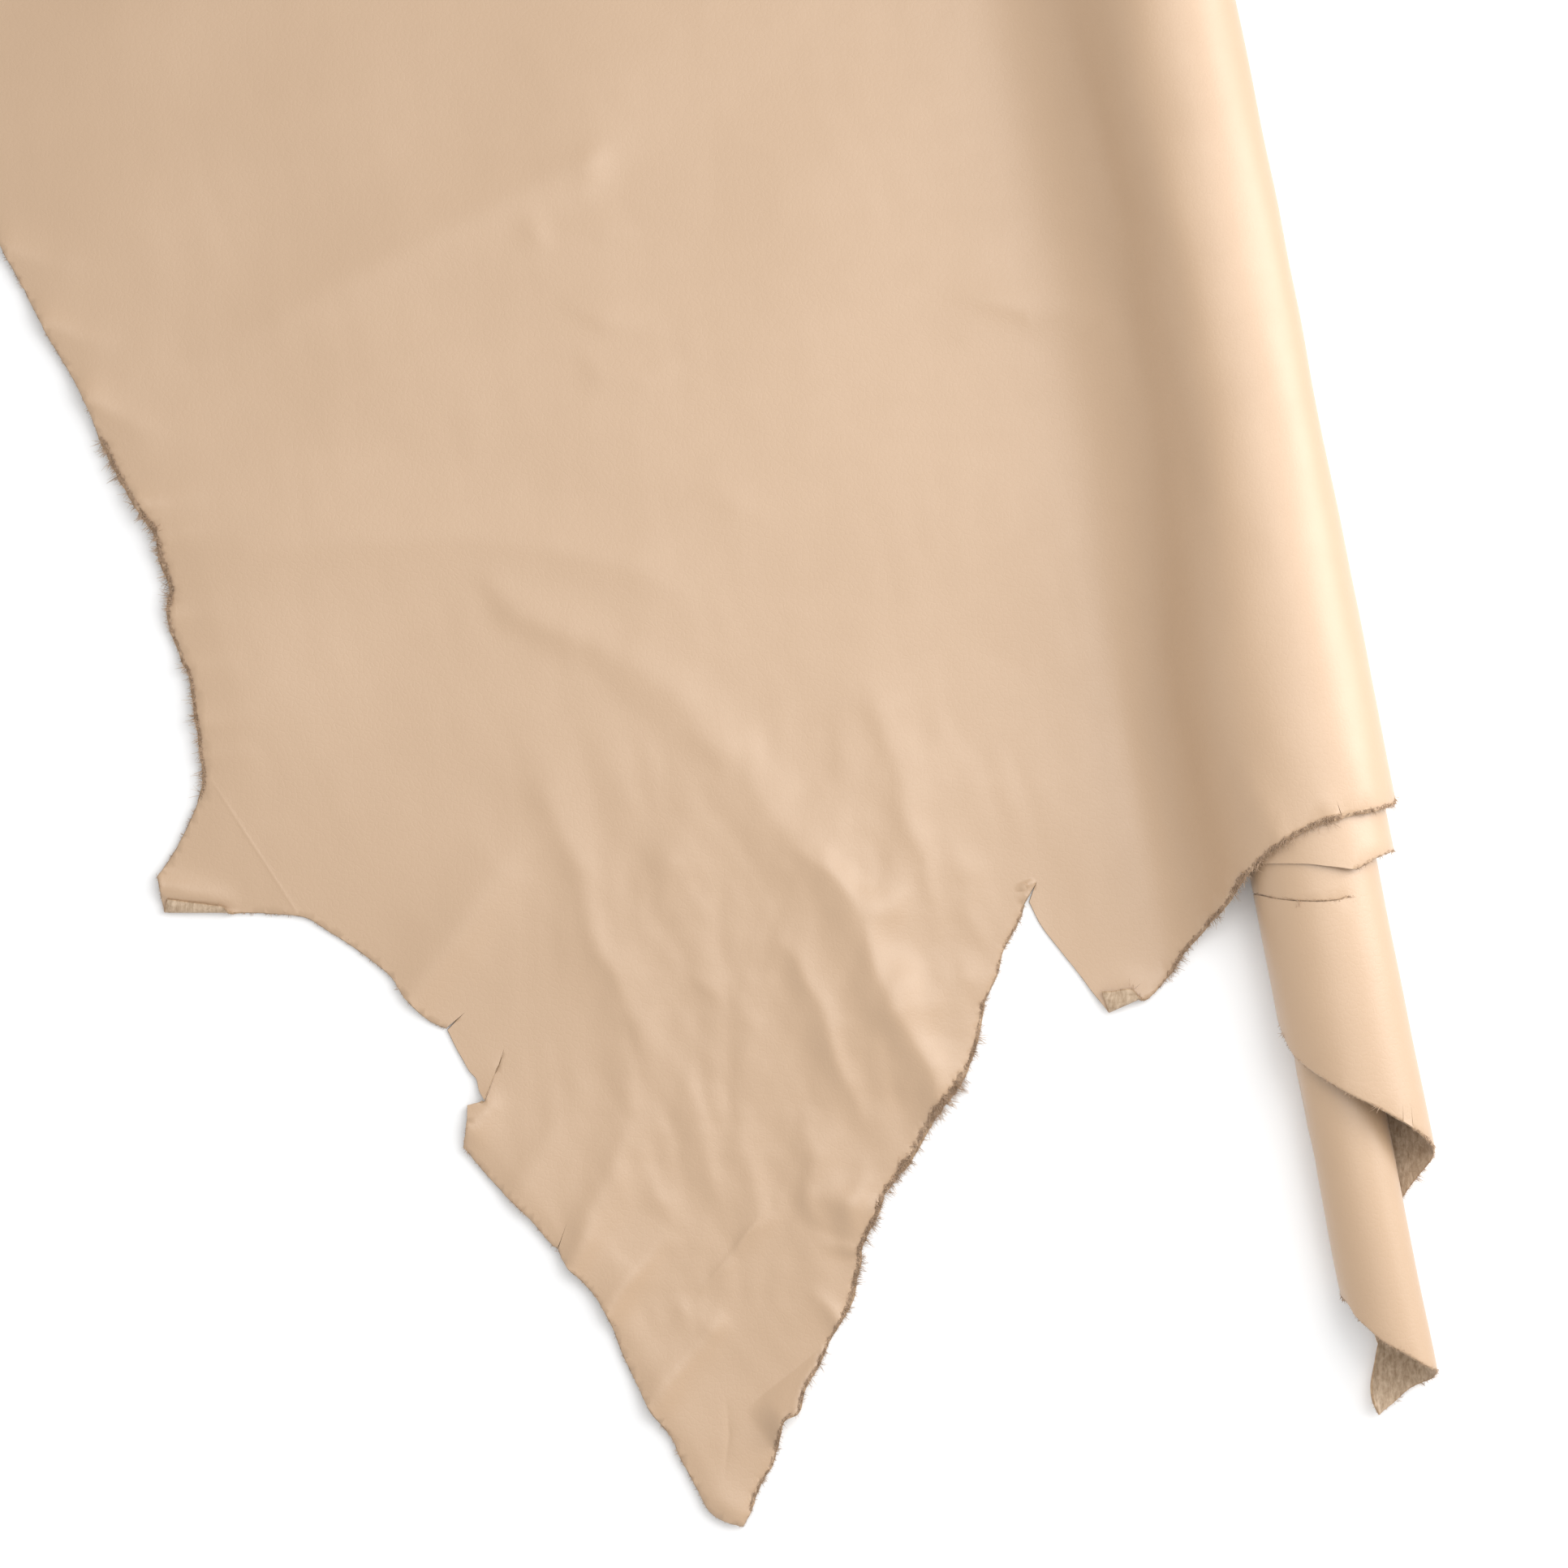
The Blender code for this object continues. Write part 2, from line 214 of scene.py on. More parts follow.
@dataclass(frozen=True)
class Ripples:
    """A smooth random field, made of plane waves.

    Attributes:
        seed: Seed of the waves' directions and phases.
        longest: Longest wave, in millimetres.
        shortest: Shortest wave, in millimetres.
        count: Number of waves.
    """

    seed: int
    longest: float
    shortest: float
    count: int = 22

    def height(self, x: Array, y: Array) -> Array:
        """Gives the field at places, from about -1 to 1.

        Args:
            x: First coordinate, in millimetres.
            y: Second coordinate, in millimetres.

        Returns:
            The field at each place.
        """
        rng = np.random.default_rng(self.seed)
        total = np.zeros_like(x, dtype=float)
        lengths = np.geomspace(self.longest, self.shortest, self.count)
        for length in lengths:
            angle, phase = rng.uniform(0, math.tau, 2)
            reach = 2 * math.pi / length
            total += (length / self.longest) ** 0.5 * np.sin(
                reach * (x * math.cos(angle) + y * math.sin(angle)) + phase
            )
        return total / math.sqrt(self.count / 2)


@dataclass(frozen=True)
class Ridge:
    """A soft ridge or trough that runs through a few spots.

    Attributes:
        spots: The points that its crest runs through.
        steep: How much steeper it is to the right of its run than to the left.
        roundness: How round its crest is: 1 for a roof, 2 for a soft wave.
    """

    spots: tuple[Spot, ...]
    steep: float = 0.0
    roundness: float = 1.5

    def height(self, x: Array, y: Array) -> Array:
        """Gives the ridge's height at places on the plan.

        Args:
            x: World X of each place.
            y: World Y of each place.

        Returns:
            The height at each place, below 0 in a trough.
        """
        found = np.zeros_like(x, dtype=float)
        for start, end in zip(self.spots, self.spots[1:]):
            run_x, run_y = end.x - start.x, end.y - start.y
            length = math.hypot(run_x, run_y)
            share = np.clip(((x - start.x) * run_x + (y - start.y) * run_y) / length**2, 0, 1)
            off_x, off_y = x - start.x - share * run_x, y - start.y - share * run_y
            away = np.hypot(off_x, off_y)
            aside = (off_x * run_y - off_y * run_x) / length / np.maximum(away, TINY)
            width = start.half_width + (end.half_width - start.half_width) * share
            width = width * (1 - self.steep * aside)
            crest = start.height + (end.height - start.height) * share
            piece = crest * np.exp(-((away / width) ** self.roundness))
            found = np.where(np.abs(piece) > np.abs(found), piece, found)
        return found

    def fine_points(self) -> Array:
        """Gives close-set points along the crest and both its sides.

        Returns:
            The points, as rows of world X and Y.
        """
        blocks = []
        for start, end in zip(self.spots, self.spots[1:]):
            run = np.array([end.x - start.x, end.y - start.y])
            length = float(np.hypot(*run))
            run = run / length
            places = np.arange(CREASE_INSET, length, CREASE_STEP)
            along, aside = np.meshgrid(places, np.array(CREASE_ROWS) * start.half_width)
            x = start.x + along * run[0] - aside * run[1]
            y = start.y + along * run[1] + aside * run[0]
            blocks.append(np.stack([x.ravel(), y.ravel()], axis=1))
        return np.concatenate(blocks)


@dataclass(frozen=True)
class Curl:
    """A strip of the hide's edge that is turned up and over, so that its flesh side shows.

    Attributes:
        x: Where the line starts that the strip turns over at. The strip lies to the right of its run.
        y: The same point's Y.
        angle: Direction of the line, in degrees.
        length: Length of the fully turned stretch.
        ease: Length over which the curl opens out at the line's end.
        radius: Radius of the bend in the sheet's middle.
        turned: How far the strip turns, in degrees.
        width: Width of the strip.
        lead: Length over which the curl comes up before the line's start.
    """

    x: float
    y: float
    angle: float
    length: float
    ease: float
    radius: float
    turned: float
    width: float
    lead: float = 0.0

    def axes(self) -> tuple[tuple[float, float], tuple[float, float]]:
        """Gives the directions along the line and out of the sheet."""
        angle = math.radians(self.angle)
        return (math.cos(angle), math.sin(angle)), (math.sin(angle), -math.cos(angle))

    def bend(self, x: Array, y: Array, z: Array) -> tuple[Array, Array, Array]:
        """Turns up what lies beyond the line.

        Args:
            x: World X of the flat sheet.
            y: World Y of the flat sheet.
            z: Height of the flat sheet.

        Returns:
            The bent places.
        """
        run, out = self.axes()
        along = (x - self.x) * run[0] + (y - self.y) * run[1]
        beyond = (x - self.x) * out[0] + (y - self.y) * out[1]
        ease = 1 - smooth_step((along - self.length) / self.ease)
        risen = smooth_step(along / self.lead + 1) if self.lead else np.ones_like(along)
        near = (beyond > 0) & (np.abs(along) < self.length + self.ease) & (beyond < self.width * 2)
        rate = np.maximum(ease, LEAST_BEND) / self.radius
        turned = np.minimum(beyond * rate, math.radians(self.turned) * np.maximum(risen, LEAST_BEND))
        straight = np.maximum(beyond - turned / rate, 0.0)
        reach = np.sin(turned) / rate + straight * np.cos(turned)
        lift = (1 - np.cos(turned)) / rate + straight * np.sin(turned)
        shift = np.where(near, reach - beyond, 0.0)
        return x + shift * out[0], y + shift * out[1], z + np.where(near, lift, 0.0)

    def fine_points(self) -> Array:
        """Gives close-set points round the bend.

        Returns:
            The points, as rows of world X and Y.
        """
        run, out = self.axes()
        arc = self.radius * math.radians(self.turned)
        parts = max(CURL_LEAST_PARTS, round(self.turned / CURL_TURN_STEP))
        rows = np.concatenate(
            [CURL_ROWS_BEFORE, np.arange(0, arc, arc / parts), np.arange(arc, self.width, CURL_ROW_STEP)]
        )
        first, last = -CURL_BEFORE - self.lead, self.length + self.ease + CURL_PAST
        along, beyond = np.meshgrid(np.arange(first, last, CURL_STEP), rows)
        x = self.x + along * run[0] + beyond * out[0]
        y = self.y + along * run[1] + beyond * out[1]
        return np.stack([x.ravel(), y.ravel()], axis=1)


@dataclass(frozen=True)
class Lip:
    """One side of a slit, lifted over the other side.

    Attributes:
        x0: World X of the slit's mouth.
        y0: World Y of the slit's mouth.
        x1: World X of the slit's end.
        y1: World Y of the slit's end.
        shift: How far the lip slides over the other side.
        lift: How far it rises.
        reach: How far from the slit the sheet still moves.
    """

    x0: float
    y0: float
    x1: float
    y1: float
    shift: float
    lift: float
    reach: float

    def raise_over(self, x: Array, y: Array, z: Array) -> tuple[Array, Array, Array]:
        """Lifts the sheet to the left of the slit, as seen from its mouth.

        Args:
            x: World X of the sheet.
            y: World Y of the sheet.
            z: Height of the sheet.

        Returns:
            The lifted places.
        """
        run = np.array([self.x1 - self.x0, self.y1 - self.y0])
        length = float(np.hypot(*run))
        run = run / length
        share = ((x - self.x0) * run[0] + (y - self.y0) * run[1]) / length
        aside = (y - self.y0) * run[0] - (x - self.x0) * run[1]
        near = (aside > -LIP_MARGIN) & (aside < self.reach) & (share > -LIP_BEFORE) & (share < 1)
        fade = (1 - np.clip(aside / self.reach, 0, 1)) ** 2 * smooth_step(1 - np.clip(share, 0, 1))
        fade = np.where(near, fade, 0.0)
        return x + fade * self.shift * run[1], y - fade * self.shift * run[0], z + fade * self.lift


def ridge(*spots: tuple[float, float, float, float], steep: float = 0.0, roundness: float = 1.5) -> Ridge:
    """Makes a ridge from rows of X, Y, half width and height."""
    return Ridge(tuple(Spot(*spot) for spot in spots), steep, roundness)


# The main folds, from the neck end down to the leg. Each spot of a crest has its X, Y, half width and height,
# which is below 0 in a trough.
FOLDS: tuple[Ridge, ...] = (
    # The wide soft folds of the flank.
    ridge((-368, 258, 24, 0), (-310, 288, 24, 1.3), (-245, 322, 22, 1.7), (-190, 350, 20, 1.6),
          (-150, 370, 18, 1.5), (-120, 384, 14, 1.8), (-96, 408, 14, 0), steep=0.25),
    ridge((-130, 358, 9, 0), (-121, 377, 8, 1.1), (-110, 396, 8, 0)),
    ridge((-162, 354, 9, 0), (-153, 340, 8, 1.0), (-144, 327, 8, 0)),
    ridge((-138, 345, 9, 0), (-110, 340, 9, 1.0), (-82, 338, 9, 0), steep=0.3),
    ridge((-140, 300, 9, 0), (-112, 285, 10, 1.1), (-72, 281, 9, 0), steep=0.3),
    ridge((-130, 268, 8, 0), (-112, 252, 9, 0.9), (-86, 250, 9, 0.8), (-60, 262, 9, 0)),
    ridge((-60, 188, 14, 0), (-30, 172, 14, 0.8), (0, 160, 14, 0)),
    ridge((-372, 140, 20, 0), (-330, 146, 24, 1.8), (-270, 151, 26, 2.6), (-205, 154, 25, 2.6),
          (-150, 148, 22, 2.2), (-95, 134, 18, 1.6), (-52, 114, 15, 0), steep=0.2),
    # The long fold that runs down into the leg, in pieces that overlap like tiles.
    ridge((-190, 134, 8, 0), (-165, 106, 12, 1.7), (-132, 92, 14, 1.8), (-100, 82, 12, 0), steep=0.2,
          roundness=1.9),
    ridge((-124, 86, 10, 0), (-94, 72, 15, 1.5), (-68, 54, 17, 1.8), (-46, 30, 16, 1.3), (-34, 6, 12, 0),
          roundness=1.9),
    ridge((-66, 36, 10, 0), (-36, 18, 17, 2.0), (-8, -12, 20, 2.6), (14, -44, 18, 2.1), (30, -72, 13, 0),
          roundness=1.8),
    ridge((-6, -30, 12, 0), (26, -54, 20, 3.6), (48, -88, 25, 7.4), (66, -122, 24, 7.2), (80, -150, 15, 0),
          steep=-0.15),
    ridge((54, -112, 12, 0), (74, -140, 21, 7.4), (89, -176, 20, 8.4), (100, -210, 16, 4.8),
          (106, -230, 11, 0), steep=-0.15),
    ridge((-4, -84, 10, 0), (12, -112, 13, 2.8), (27, -150, 14, 4.0), (40, -184, 13, 3.0),
          (50, -214, 10, 0)),
    ridge((52, 70, 13, 0), (60, 44, 16, 2.0), (68, 6, 17, 2.6), (78, -34, 16, 2.6), (90, -72, 13, 1.5),
          (97, -104, 10, 0), steep=0.2),
    ridge((30, 40, 12, 0), (36, 8, 15, 1.4), (40, -24, 14, 1.4), (48, -52, 11, 0)),
    ridge((104, -20, 10, 0), (112, -52, 13, 1.8), (118, -84, 11, 1.2), (124, -104, 9, 0)),
    ridge((106, -94, 9, 0), (110, -120, 11, 2.0), (108, -142, 9, 0.8), (104, -158, 8, 0)),
    ridge((12, -198, 7, 0), (16, -222, 10, 2.6), (21, -250, 10, 3.0), (25, -274, 8, 0), steep=0.2),
    ridge((44, -222, 8, 0), (46, -244, 10, 2.2), (40, -268, 9, 1.6), (30, -286, 7, 0)),
    ridge((-30, -196, 7, 0), (-24, -226, 9, 1.5), (-18, -262, 9, 1.3), (-14, -290, 7, 0)),
    ridge((-56, -175, 7, 0), (-49, -205, 9, 1.3), (-42, -245, 9, 1.3), (-36, -274, 7, 0)),
    ridge((-77, -236, 8, 0), (-74, -262, 9, 1.4), (-70, -298, 8, 0)),
    ridge((-84, -62, 9, 0), (-70, -52, 12, 1.5), (-52, -30, 9, 0)),
    ridge((-62, -104, 8, 0), (-46, -124, 11, 1.5), (-30, -154, 9, 0)),
    # The fold that bows along the leg's outer side.
    ridge((-152, 14, 14, 0), (-145, -10, 17, 2.2), (-128, -52, 17, 2.8), (-116, -92, 14, 1.4),
          (-110, -112, 11, 0)),
    ridge((-124, -78, 12, 0), (-108, -112, 16, 2.6), (-96, -160, 15, 2.3), (-94, -192, 12, 0), steep=0.2),
    ridge((-90, -168, 10, 0), (-96, -206, 14, 1.8), (-108, -246, 14, 2.6), (-122, -282, 11, 4.2),
          (-135, -308, 9, 4.6), steep=0.2),
    ridge((-128, -190, 9, 0), (-150, -226, 12, 1.5), (-168, -258, 12, 2.4), steep=0.2),
    ridge((-232, -136, 17, 4.4), (-205, -98, 21, 4.6), (-176, -56, 20, 3.0), (-146, -18, 15, 0), steep=0.2),
    ridge((-108, -326, 9, 4.6), (-94, -302, 11, 3.3), (-76, -272, 10, 0), steep=0.2),
    ridge((-90, -398, 10, 5.4), (-72, -370, 12, 4.6), (-50, -338, 12, 1.9), (-36, -318, 9, 0), steep=0.2),
    ridge((-60, -350, 9, 0), (-44, -336, 11, 1.6), (-26, -330, 9, 0)),
    # Small creases of the lower leg.
    ridge((-54, -315, 4, 0), (-38, -296, 4, 0.7), (-20, -273, 4, 0.8), (-2, -250, 4, 0)),
    ridge((-66, -314, 4, 0), (-62, -326, 4, 0.9), (-58, -338, 4, 0)),
    ridge((-33, -160, 5, 0), (-32, -185, 5, -0.5), (-34, -215, 5, 0)),
    ridge((-36, -376, 4, 0), (-34, -400, 4, -0.5), (-37, -430, 4, 0)),
    ridge((-46, -398, 4, 0), (-44, -418, 4, -0.4), (-44, -440, 4, 0)),
    ridge((20, -288, 6, 0), (36, -284, 6, 1.8), (54, -276, 6, 3.0)),
    ridge((14, -314, 7, 0), (28, -322, 7, 2.0), (36, -334, 7, 3.4)),
    # The leg's inner edge stands up.
    ridge((38, -256, 9, 3.4), (58, -264, 9, 2.4)),
    # The belly's edge and the leg's outer edge stand a little off the ground.
    ridge((-500, 400, 60, 0), (-440, 300, 80, 3.5), (-392, 205, 85, 5.5), (-356, 125, 85, 5.5),
          (-334, 50, 75, 4.5), (-345, -15, 60, 3.0), (-350, -60, 40, 1.0)),
    ridge((-190, -212, 30, 2.0), (-155, -254, 34, 2.8), (-112, -312, 32, 3.0), (-84, -362, 28, 3.0),
          (-54, -412, 24, 2.6), (-34, -442, 16, 1.6)),
    # The curled tab beside the notch.
    ridge((142, -66.0, 2.2, 0), (148, -64.0, 2.4, 2.4), (153.5, -60.5, 1.8, 1.8)),
    # Ruffles along the belly's edge.
    ridge((-398, 172, 9, 3.4), (-378, 174, 8, 1.0), (-352, 176, 8, 0)),
    ridge((-384, 152, 7, 2.0), (-362, 156, 7, 0.8), (-344, 158, 7, 0)),
    ridge((-380, 104, 8, 2.4), (-362, 106, 8, 0.8), (-340, 105, 8, 0)),
    ridge((-370, 72, 7, 1.8), (-350, 74, 7, 0.6), (-330, 72, 7, 0)),
    ridge((-364, 38, 8, 2.2), (-344, 40, 8, 0.8), (-322, 42, 8, 0)),
    ridge((-359, 18, 6, 1.5), (-340, 20, 6, 0.5), (-322, 20, 6, 0)),
    ridge((-430, 238, 11, 4.0), (-408, 226, 10, 1.4), (-380, 214, 9, 0)),
    ridge((-456, 284, 12, 4.5), (-434, 276, 11, 1.5), (-408, 270, 10, 0)),
    ridge((-480, 330, 13, 4.0), (-456, 322, 11, 1.4), (-430, 318, 10, 0)),
    # The flank's corner stands up.
    ridge((-390, -62, 9, 5.5), (-374, -65, 8, 4.5), (-352, -69, 7, 2.4), (-334, -72, 6, 0)),
    ridge((-194, -212, 10, 4.5), (-182, -200, 9, 2.0), (-172, -190, 9, 0)),
    # The rump's corner, and the folds that the ramp pulls.
    ridge((196, -136, 10, 3.0), (214, -130, 10, 4.5), (226, -130, 9, 3.5)),
    ridge((96, 304, 13, 0), (130, 297, 13, 2.0), (165, 289, 13, 2.6), (192, 281, 12, 2.4),
          (222, 272, 11, 0), steep=0.3),
    ridge((222, 196, 14, 0), (236, 183, 12, 1.6), (252, 176, 10, 0)),
    ridge((-43, -442, 12, 3.0), (-30, -450, 12, 3.0)),
    # The front part, outside the camera's view.
    ridge((-560, 590, 40, 3.0), (-450, 670, 40, 5.0), (-330, 760, 40, 2.0)),
    ridge((-700, 960, 32, 5.0), (-610, 930, 32, 5.0), (-520, 900, 32, 1.0)),
    ridge((-290, 1210, 40, 4.0), (-180, 1100, 40, 5.0), (-60, 1010, 40, 2.0)),
)


# Crisp creases, which the grid follows: the flank's straight one, and a few of the leg.
CREASES: tuple[Ridge, ...] = (
    ridge((-355, 6, 1.0, 0.1), (-328, -36, 1.0, 0.2), (-300, -79, 1.0, 0.16)),
    ridge((-54, -315, 1.5, 0), (-38, -296, 1.6, 0.35), (-20, -273, 1.6, 0.4), (-2, -250, 1.5, 0)),
    ridge((-36, -376, 1.4, 0), (-34, -400, 1.5, -0.3), (-37, -430, 1.4, 0)),
    ridge((143.5, -67.5, 0.9, 0), (147.0, -67.3, 1.0, -1.6), (149.6, -66.6, 0.9, -1.4)),
)


@dataclass(frozen=True)
class FlatRelief:
    """Folds, ripples, slits and curls of the sheet, on its plan.

    Attributes:
        folds: The main folds.
        swell: Broad waves of the whole sheet.
        swell_height: Their height.
        pucker: Small puckers of the leg.
        pucker_height: Their height.
        crumple: Crumples that are drawn out in one direction, strongest on the leg.
        crumple_height: Their height.
        crumple_least: Their share away from the leg.
        crumple_run: The direction that they are drawn out in.
        crumple_stretch: Their steepness along that direction, where 1 is not drawn out at all.
        crumple_soft: How soft the crumples' creases are.
        stray: Field that bends the leg's folds off their straight runs.
        stray_reach: How far it bends them.
        stray_shift: Distance between the places that the field is read at for X and for Y.
        leg_centre: World X and Y of the leg's middle.
        leg_reach: How far the leg reaches from there, in X and in Y.
        curls: The strips of the edge that are turned over.
        creases: Crisp creases, which the grid follows.
        lips: Lifted lips of the slits.
    """

    folds: tuple[Ridge, ...] = FOLDS
    swell: Ripples = Ripples(3, 260.0, 90.0)
    swell_height: float = 1.2
    pucker: Ripples = Ripples(8, 30.0, 11.0, 30)
    pucker_height: float = 0.10
    crumple: Ripples = Ripples(14, 80.0, 16.0, 26)
    crumple_height: float = 0.6
    crumple_least: float = 0.15
    crumple_run: float = math.radians(-84)
    crumple_stretch: float = 0.2
    crumple_soft: float = 0.04
    stray: Ripples = Ripples(17, 130.0, 28.0, 14)
    stray_reach: float = 4.5
    stray_shift: float = 500.0
    leg_centre: tuple[float, float] = (10.0, -170.0)
    leg_reach: tuple[float, float] = (150.0, 220.0)
    curls: tuple[Curl, ...] = (
        Curl(-383.0, -76.5, 0.0, 36.0, 16.0, 2.0, 176.0, 13.0),
        Curl(198.8, -138.4, 24.1, 19.0, 6.0, 2.0, 174.0, 18.0),
        Curl(-12.0, -374.5, 38.7, 43.0, 8.0, 3.5, 23.0, 24.0, lead=18.0),
    )
    creases: tuple[Ridge, ...] = CREASES
    lips: tuple[Lip, ...] = (
        Lip(-184.5, -194.6, -172.0, -162.0, 0.8, 2.6, 20.0),
        Lip(-207.6, -150.7, -196.5, -140.5, 0.2, 0.5, 14.0),
        Lip(149.4, -73.0, 155.6, -60.0, 0.0, 1.8, 9.0),
    )

    def height(self, x: Array, y: Array) -> Array:
        """Gives how far the sheet stands off its plain form, never below it.

        Args:
            x: World X on the plan.
            y: World Y on the plan.

        Returns:
            The height at each place.
        """
        (leg_x, leg_y), (reach_x, reach_y) = self.leg_centre, self.leg_reach
        leg = np.exp(-(((x - leg_x) / reach_x) ** 4) - ((y - leg_y) / reach_y) ** 4)
        moved_x = x + self.stray_reach * leg * self.stray.height(x, y)
        moved_y = y + self.stray_reach * leg * self.stray.height(y + self.stray_shift, x)
        total = self.swell_height * (1 + self.swell.height(x, y)) * 0.5
        for fold in self.folds:
            total = total + fold.height(moved_x, moved_y)
        for crease in self.creases:
            total = total + crease.height(x, y)
        total = total + self.pucker_height * leg * self.pucker.height(x, y)
        run_x, run_y = math.cos(self.crumple_run), math.sin(self.crumple_run)
        drawn = self.crumple.height(x * run_y - y * run_x, (x * run_x + y * run_y) * self.crumple_stretch)
        share = self.crumple_least + (1 - self.crumple_least) * leg
        total = total + self.crumple_height * share * np.sqrt(drawn**2 + self.crumple_soft)
        return np.maximum(total, 0.0)

    def place(self, x: Array, y: Array) -> tuple[Array, Array, Array]:
        """Gives where the middle of the sheet lies on the floor.

        Args:
            x: World X on the plan.
            y: World Y on the plan.

        Returns:
            World X, Y and height, in millimetres before centring.
        """
        z = HALF + self.height(x, y)
        for lip in self.lips:
            x, y, z = lip.raise_over(x, y, z)
        for curl in self.curls:
            x, y, z = curl.bend(x, y, z)
        return x, y, z


@dataclass(frozen=True)
class RollForm:
    """The sheet's path across the hide: flat, up the ramp, and round the turns of the roll.

    Attributes:
        turns: The roll's turns at its thick end, from the outside in.
        ramp_start: Where the sheet leaves the floor, across the hide.
        ramp_slack: Length of the ramp's curve, as a share of the straight way.
        bend_hind: How far the ramp's curve leaves level and arrives level, where the roll is thick.
        bend_front: The same, where the roll is thin.
        thick_until: Where the roll starts to thin, along it.
        thin_from: Where it is at its thinnest.
        thin: The scale of its thinnest section.
        sag_from: Where the inner turns start to sag, because the outer ones are cut away.
        sag_slope: How fast they sag along the roll.
        flat_spot: Width of the outer turn's flat spot on the floor.
        relief: The relief of the flat part.
        dents: Soft dents of the roll.
        dent_depth: Their depth.
        dent_scale: How much closer they are set round the roll and along it.
        lift_from: Where on the ramp the roll's own relief starts to take over.
        lift_reach: How far it takes to do so.
        low_from: Height below which the roll has no relief, because it rests on the floor.
        low_reach: Height over which its relief comes in.
        wrinkles: Wrinkles of the roll.
    """

    turns: tuple[Turn, ...] = (
        Turn(315.0, 74.5, 365.6, 34.0, 318.0, HALF, 265.0, 33.0),
        Turn(313.0, 70.0, 358.4, 35.0, 316.0, 5.7, 269.6, 34.0),
        Turn(306.5, 66.4, 347.0, 35.0, 312.0, 10.6, 275.0, 33.0),
        Turn(299.0, 53.0, 322.0, 33.0, 301.0, 15.0, 280.0, 31.0),
        Turn(298.0, 45.0, 315.0, 31.0, 298.0, 19.5, 285.5, 30.5),
    )
    ramp_start: float = 205.0
    ramp_slack: float = 1.06
    bend_hind: tuple[float, float] = (0.45, 0.60)
    bend_front: tuple[float, float] = (0.64, 0.45)
    thick_until: float = 35.0
    thin_from: float = -210.0
    thin: float = 0.83
    sag_from: float = 100.0
    sag_slope: float = 0.034
    flat_spot: float = 12.0
    relief: FlatRelief = field(default_factory=FlatRelief)
    dents: Ripples = Ripples(5, 170.0, 45.0)
    dent_depth: float = 0.4
    dent_scale: tuple[float, float] = (1.6, 0.7)
    lift_from: float = 10.0
    lift_reach: float = 60.0
    low_from: float = 2.5
    low_reach: float = 6.0
    wrinkles: tuple[Ridge, ...] = (
        ridge((308, 36, 7, 0), (313, 56, 8, 1.2), (320, 74, 8, 1.9), (326, 92, 7, 1.5)),
        ridge((349, 60, 3, 0), (352, 76, 3.5, 0.7), (354, 88, 3, 1.0)),
        ridge((372, 40, 8, 0), (378, 64, 9, 0.9), (381, 88, 8, 0.8)),
    )

    def quarters(self) -> list[Quarter]:
        """Lists each quarter turn from the ramp's top inward.

        Returns:
            The quarters, with the outer turn's flat spot among them.
        """
        found: list[Quarter] = []
        left = (0.0, 0.0)
        for number, turn in enumerate(self.turns):
            spot = 0.0 if number else self.flat_spot / 2
            top, right = (turn.top, turn.top_z), (turn.right, turn.right_z)
            before = (turn.bottom + spot, turn.bottom_z)
            after = (turn.bottom - spot, turn.bottom_z)
            if number:
                found.append(Quarter(number, Half.UPPER, left, top, Run.FROM_UPRIGHT))
            left = (turn.left, turn.left_z)
            found.append(Quarter(number, Half.UPPER, top, right, Run.FROM_LEVEL))
            found.append(Quarter(number, Half.LOWER, right, before, Run.FROM_UPRIGHT))
            if spot:
                found.append(Quarter(number, Half.LOWER, before, after, Run.STRAIGHT))
            found.append(Quarter(number, Half.LOWER, after, left, Run.FROM_LEVEL))
        return found

    def knots(self) -> list[float]:
        """Lists where the ramp and the quarters begin and end.

        Returns:
            The wound distance at the ramp's start, at its top, and after each quarter.
        """
        first = self.turns[0]
        ramp = math.hypot(first.top - self.ramp_start, first.top_z) * self.ramp_slack
        found = [self.ramp_start, self.ramp_start + ramp]
        for quarter in self.quarters():
            width = abs(quarter.last[0] - quarter.first[0])
            height = abs(quarter.last[1] - quarter.first[1])
            curved = math.pi / 2 * math.sqrt((width**2 + height**2) / 2)
            found.append(found[-1] + (width if quarter.run is Run.STRAIGHT else curved))
        return found

    def shrink(self, along: Array) -> tuple[Array, Array]:
        """Gives how far the roll has thinned, from 0 to 1, and the scale of its section."""
        share = smooth_step((self.thick_until - along) / (self.thick_until - self.thin_from))
        return share, 1 - (1 - self.thin) * share

    def ramp(self, share: Array, thinned: Array, scale: Array) -> tuple[Array, Array]:
        """Gives the ramp's curve.

        Args:
            share: How far up the ramp, from 0 to 1.
            thinned: How far the roll has thinned there, from 0 to 1.
            scale: The scale of the roll's section there.

        Returns:
            Across and height of the sheet's middle.
        """
        edge, first_turn = self.turns[0].right, self.turns[0]
        top = edge - (edge - first_turn.top) * scale
        span = top - self.ramp_start
        leave = self.bend_hind[0] + (self.bend_front[0] - self.bend_hind[0]) * thinned
        arrive = self.bend_hind[1] + (self.bend_front[1] - self.bend_hind[1]) * thinned
        across = bezier(self.ramp_start, self.ramp_start + leave * span, top - arrive * span, top, share)
        top_z = first_turn.top_z * scale
        return across, bezier(HALF, HALF, top_z, top_z, share)

